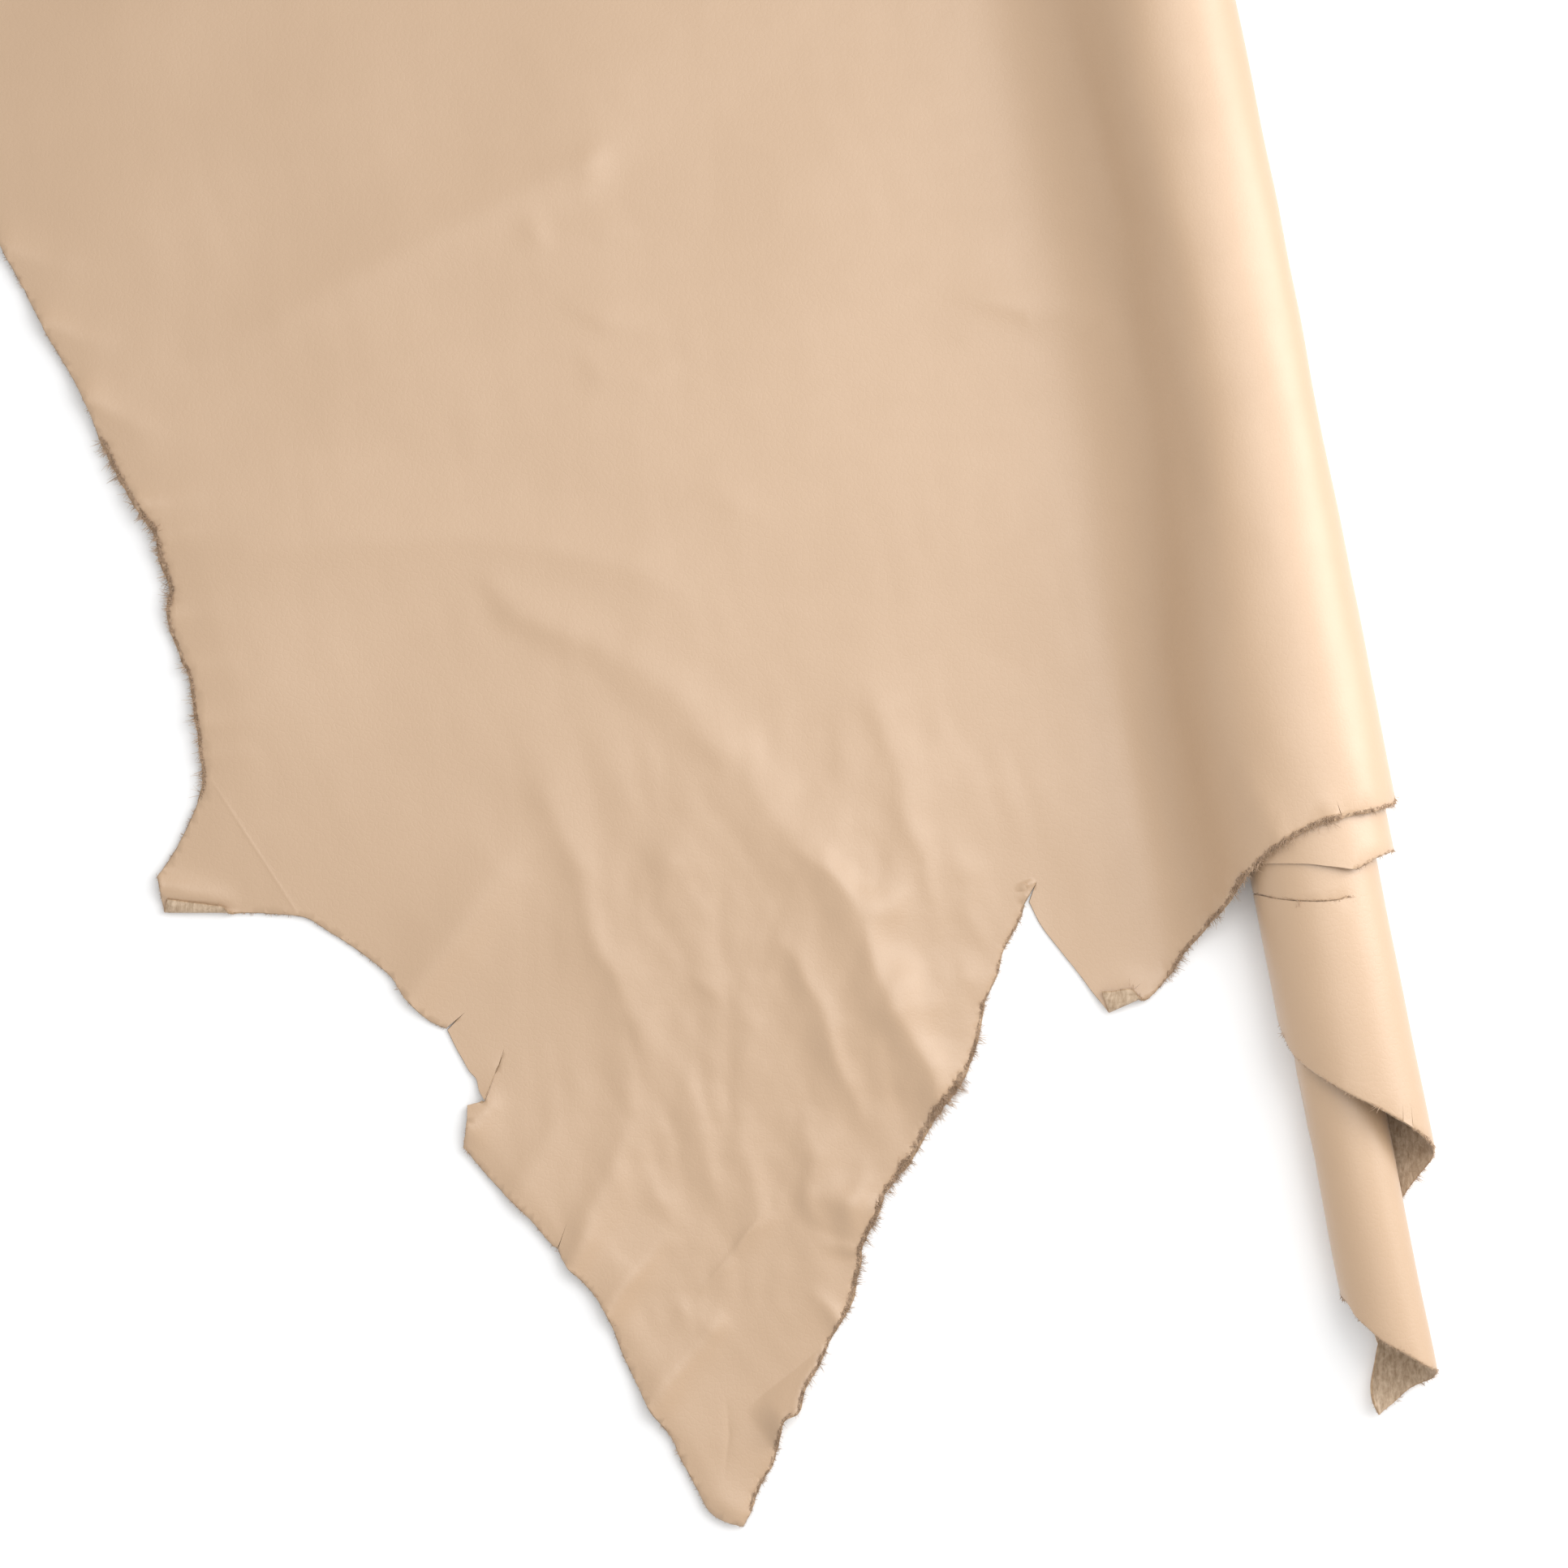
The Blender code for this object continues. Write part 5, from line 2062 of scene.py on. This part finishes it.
@dataclass
class EdgeFibres:
    """Loose fibres that stand out of the raw edge, more and longer where it is torn.

    Attributes:
        sheet: The sheet whose edge they grow from.
        tree: The tree that makes them.
        clumps: Clumps for each millimetre of edge, before what follows.
        tufts: Field by which clumps are denser in some places.
        tuft_least: Density where that field is lowest.
        tuft_range: Least and most density.
        full_fuzz: Fibre length at which an edge has its full share of clumps.
        most_share: The largest such share.
        seen_y: World Y up to which the edge is seen.
        unseen_share: Share of clumps elsewhere.
        least_fuzz: Fibre length under which an edge has none.
        in_clump: Fibres in a clump.
        stray: How far the clumps stray from the edge's own direction.
        reach_shape: Shape and scale of the spread of the clumps' lengths.
        reach_least: Length that is added to each, in millimetres.
        reach_most: Length of the longest fibre, in millimetres.
        strand_range: Shortest and longest fibre of a clump, as shares of its length.
        clump_spread: How far a clump spreads along the edge.
        share_range: Bounds of a root's place between one point of the edge and the next.
        inward_range: Bounds of its place across the torn band, where 0 is at the edge.
        root_slope: How much higher it stands across the band, as a share of half the thickness.
        root_drop: How far below the middle it stands at the edge, in the same measure.
        depth_reach: Bound of the clumps' own up and down.
        lean_up: How far a fibre leans up.
        lean_vary: How much of its clump's up and down is added to that.
        low_root: Height under which a root counts as low, so that its fibre may not point into the floor.
        low_share: Share of its lean up or down that such a fibre keeps, always upward.
        low_lean: Lean upward that is added.
        thickness: Radius of a fibre, in metres.
        bend: How far its tip bends aside, in metres.
        scatter: How far each fibre strays from its clump.
        seed: Seed of all draws.
    """

    sheet: HideSheet
    tree: StrandTree
    clumps: float = 1.1
    tufts: Ripples = Ripples(31, 50.0, 9.0)
    tuft_least: float = 0.45
    tuft_range: tuple[float, float] = (0.35, 1.4)
    full_fuzz: float = 2.5
    most_share: float = 1.3
    seen_y: float = 560.0
    unseen_share: float = 0.15
    least_fuzz: float = 0.5
    in_clump: int = 6
    stray: float = 0.5
    reach_shape: tuple[float, float] = (2.2, 0.42)
    reach_least: float = 0.5
    reach_most: float = 9.0
    strand_range: tuple[float, float] = (0.45, 1.15)
    clump_spread: float = 0.5
    share_range: tuple[float, float] = (-0.4, 1.4)
    inward_range: tuple[float, float] = (-0.15, 1.0)
    root_slope: float = 0.9
    root_drop: float = 0.3
    depth_reach: float = 0.75
    lean_up: float = 0.3
    lean_vary: float = 0.3
    low_root: float = 4.0
    low_share: float = 0.4
    low_lean: float = 0.05
    thickness: float = 0.00023
    bend: float = 0.0011
    scatter: float = 0.55
    seed: int = 11

    def clump_places(self, rng: np.random.Generator) -> Array:
        """Draws where the clumps stand.

        Args:
            rng: The source of draws.

        Returns:
            For each clump, the number of the edge's point that it stands behind.
        """
        middle, fuzz = self.sheet.edge_middle, self.sheet.edge_fuzz
        length = np.linalg.norm(np.roll(middle, -1, axis=0) - middle, axis=1)
        tufts = 0.5 + 0.5 * self.tufts.height(np.cumsum(length), np.zeros_like(length))
        density = np.clip(self.tuft_least + tufts, *self.tuft_range)
        wanted = length * self.clumps * density * np.clip(fuzz / self.full_fuzz, 0.0, self.most_share)
        seen = middle[:, 1] + HIDE_CENTRE[1] < self.seen_y
        wanted = np.where(seen, wanted, wanted * self.unseen_share)
        number = (wanted + rng.uniform(0, 1, len(wanted))).astype(int)
        clump = np.repeat(np.arange(len(wanted)), number)
        return clump[fuzz[clump] > self.least_fuzz]

    def roots(self) -> tuple[Array, Array, Array]:
        """Gives each fibre's root, direction and length, in millimetres.

        Returns:
            The roots, the directions and the lengths.
        """
        rng = np.random.default_rng(self.seed)
        middle, out, up = self.sheet.edge_middle, self.sheet.edge_out, self.sheet.edge_up
        ahead = np.roll(middle, -1, axis=0)
        clump = self.clump_places(rng)
        share = rng.uniform(0, 1, len(clump))
        depth = rng.uniform(-self.depth_reach, self.depth_reach, len(clump))
        stray = rng.normal(0, self.stray, (len(clump), 3))
        reach = self.sheet.edge_fuzz[clump] * rng.gamma(*self.reach_shape, len(clump)) + self.reach_least
        each = np.repeat(np.arange(len(clump)), self.in_clump)
        index, depth, count = clump[each], depth[each], len(each)
        share = np.clip(share[each] + rng.normal(0, self.clump_spread, count), *self.share_range)[:, None]
        roots = middle[index] * (1 - share) + ahead[index] * share
        inward = rng.uniform(*self.inward_range, count)
        roots = roots + up[index] * ((inward * self.root_slope - self.root_drop) * HALF)[:, None]
        roots = roots - out[index] * (self.sheet.band[index] * inward)[:, None]
        reach = np.minimum(reach[each] * rng.uniform(*self.strand_range, count), self.reach_most)
        lean = out[index] + up[index] * (self.lean_up + depth * self.lean_vary)[:, None] + stray[each]
        low = np.abs(lean[:, 2]) * self.low_share + self.low_lean
        lean[:, 2] = np.where(roots[:, 2] < self.low_root, low, lean[:, 2])
        return roots, lean, reach

    def build(self, material: bpy.types.Material) -> bpy.types.Object:
        """Builds the fibres as one plain mesh.

        Args:
            material: The fibres' finish.

        Returns:
            The fibres' object.
        """
        roots, lean, reach = self.roots()
        points = bpy.data.meshes.new("fibre_roots")
        points.from_pydata((roots * MM).tolist(), [], [])
        points.attributes.new("lean", "FLOAT_VECTOR", "POINT").data.foreach_set("vector", lean.ravel())
        points.attributes.new("reach", "FLOAT", "POINT").data.foreach_set("value", reach * MM)
        holder = new_object("fibre_holder", points)
        modifier = holder.modifiers.new("fibres", "NODES")
        modifier.node_group = self.tree.tree
        values = {
            "Thickness": self.thickness,
            "Bend": self.bend,
            "Scatter": self.scatter,
            "Seed": self.seed,
            "Material": material,
        }
        for name, value in values.items():
            modifier[self.tree.sockets[name]] = value
        graph = bpy.context.evaluated_depsgraph_get()
        mesh = bpy.data.meshes.new_from_object(holder.evaluated_get(graph), depsgraph=graph)
        mesh.name = "edge_fibres"
        places = np.empty(len(mesh.vertices) * 3, np.float32)
        mesh.vertices.foreach_get("co", places)
        places[2::3] = np.maximum(places[2::3], FLOOR_GAP)
        mesh.vertices.foreach_set("co", places)
        bpy.data.objects.remove(holder, do_unlink=True)
        LOG.info("edge fibres: %d strands, %d faces", len(reach), len(mesh.polygons))
        return new_object("edge_fibres", mesh)


class Lamp(NamedTuple):
    """A soft square light, placed from the point that the camera aims at, in metres and watts."""

    name: str
    place: tuple[float, float, float]
    size: float
    energy: float


@dataclass(frozen=True)
class Studio:
    """The floor, the lights and the camera.

    Attributes:
        frame_width: Width of the floor that the camera sees, in metres.
        camera_height: Height of the camera.
        sensor: Width of its sensor, in millimetres.
        clip_end: How far it sees.
        floor_size: Side of the floor.
        floor_drop: How far the floor lies under the hide.
        paper: The floor's colour.
        paper_roughness: Its roughness.
        paper_gloss: How strongly it reflects.
        lamps: The lights.
        world_strength: Strength of the white light from all round.
    """

    frame_width: float = 0.966
    camera_height: float = 8.0
    sensor: float = 36.0
    clip_end: float = 100.0
    floor_size: float = 30.0
    floor_drop: float = 0.0004
    paper: tuple[float, ...] = (0.93, 0.93, 0.93, 1)
    paper_roughness: float = 0.85
    paper_gloss: float = 0.1
    lamps: tuple[Lamp, ...] = (
        Lamp("low side light", (1.6, 0.5, 0.6), 0.9, 17.4),
        Lamp("high side light", (0.9, 0.45, 1.3), 1.0, 7.2),
        Lamp("overhead light", (0.3, 0.25, 1.4), 0.9, 5.0),
    )
    world_strength: float = 0.89

    def aim(self) -> tuple[float, float]:
        """Gives the point of the row that lies at the photograph's centre."""
        return -HIDE_CENTRE[0] * MM, -HIDE_CENTRE[1] * MM

    def floor(self) -> None:
        """Adds the pale floor."""
        half = self.floor_size / 2
        mesh = bpy.data.meshes.new("floor")
        corners = [(-half, -half), (half, -half), (half, half), (-half, half)]
        mesh.from_pydata([(x, y, -self.floor_drop) for x, y in corners], [], [(0, 1, 2, 3)])
        material, _, shader = new_material("paper_white")
        shader.inputs["Base Color"].default_value = self.paper
        shader.inputs["Roughness"].default_value = self.paper_roughness
        shader.inputs["Specular IOR Level"].default_value = self.paper_gloss
        mesh.materials.append(material)
        floor = new_object("floor", mesh)

    def light(self, lamp: Lamp) -> None:
        """Adds a soft square light that faces the hide.

        Args:
            lamp: The light.
        """
        data = bpy.data.lights.new(lamp.name, "AREA")
        data.shape = "SQUARE"
        data.size = lamp.size
        data.energy = lamp.energy
        x, y = self.aim()
        place = Vector((x + lamp.place[0], y + lamp.place[1], lamp.place[2]))
        made = new_object(lamp.name, data)
        made.location = place
        made.rotation_euler = (Vector((x, y, 0)) - place).to_track_quat("-Z", "Y").to_euler()

    def camera(self) -> None:
        """Adds the camera straight above the hind end."""
        data = bpy.data.cameras.new("camera")
        data.sensor_width = self.sensor
        data.lens = self.sensor * self.camera_height / self.frame_width
        data.clip_end = self.clip_end
        camera = new_object("camera", data)
        x, y = self.aim()
        camera.location = (x, y, self.camera_height)
        bpy.context.scene.camera = camera

    def build(self) -> None:
        """Builds the whole studio."""
        self.floor()
        for lamp in self.lamps:
            self.light(lamp)
        world = bpy.data.worlds.new("studio")
        world.use_nodes = True
        background = world.node_tree.nodes["Background"]
        background.inputs["Color"].default_value = (1, 1, 1, 1)
        background.inputs["Strength"].default_value = self.world_strength
        bpy.context.scene.world = world
        bpy.context.scene.view_settings.view_transform = "Standard"
        self.camera()


def main() -> None:
    """Builds the scene."""
    logging.basicConfig(level=logging.INFO, format="%(name)s: %(message)s")
    Studio().build()
    form = RollForm()
    grain_grid = PlanGrid(
        form,
        near=4.5,
        far=14.0,
        quarter_parts=(12, 11, 10, 8, 7),
        ramp_parts=26,
        near_row=11.0,
        far_row=22.0,
        fine_areas=FINE_AREAS,
    )
    flesh_grid = PlanGrid(
        form,
        near=9.0,
        far=24.0,
        quarter_parts=(6, 6, 5, 5, 5),
        ramp_parts=13,
        near_row=22.0,
        far_row=44.0,
        fine_areas=FINE_AREAS[:-1],
    )
    sheet = HideSheet(form, EdgeLine(form), grain_grid, flesh_grid)
    hide = sheet.build()
    groups = ShaderGroups(blotch_group(), pore_group(), nap_group())
    sheet.dress(hide, groups)
    fibres = EdgeFibres(sheet, StrandTree()).build(LOOSE_FIBRE.material(groups))
    for piece in (hide, fibres):
        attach(piece, "root")
        LOG.info("%s: %d faces", piece.name, len(piece.data.polygons))
    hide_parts("hide")


if __name__ == "__main__":
    main()
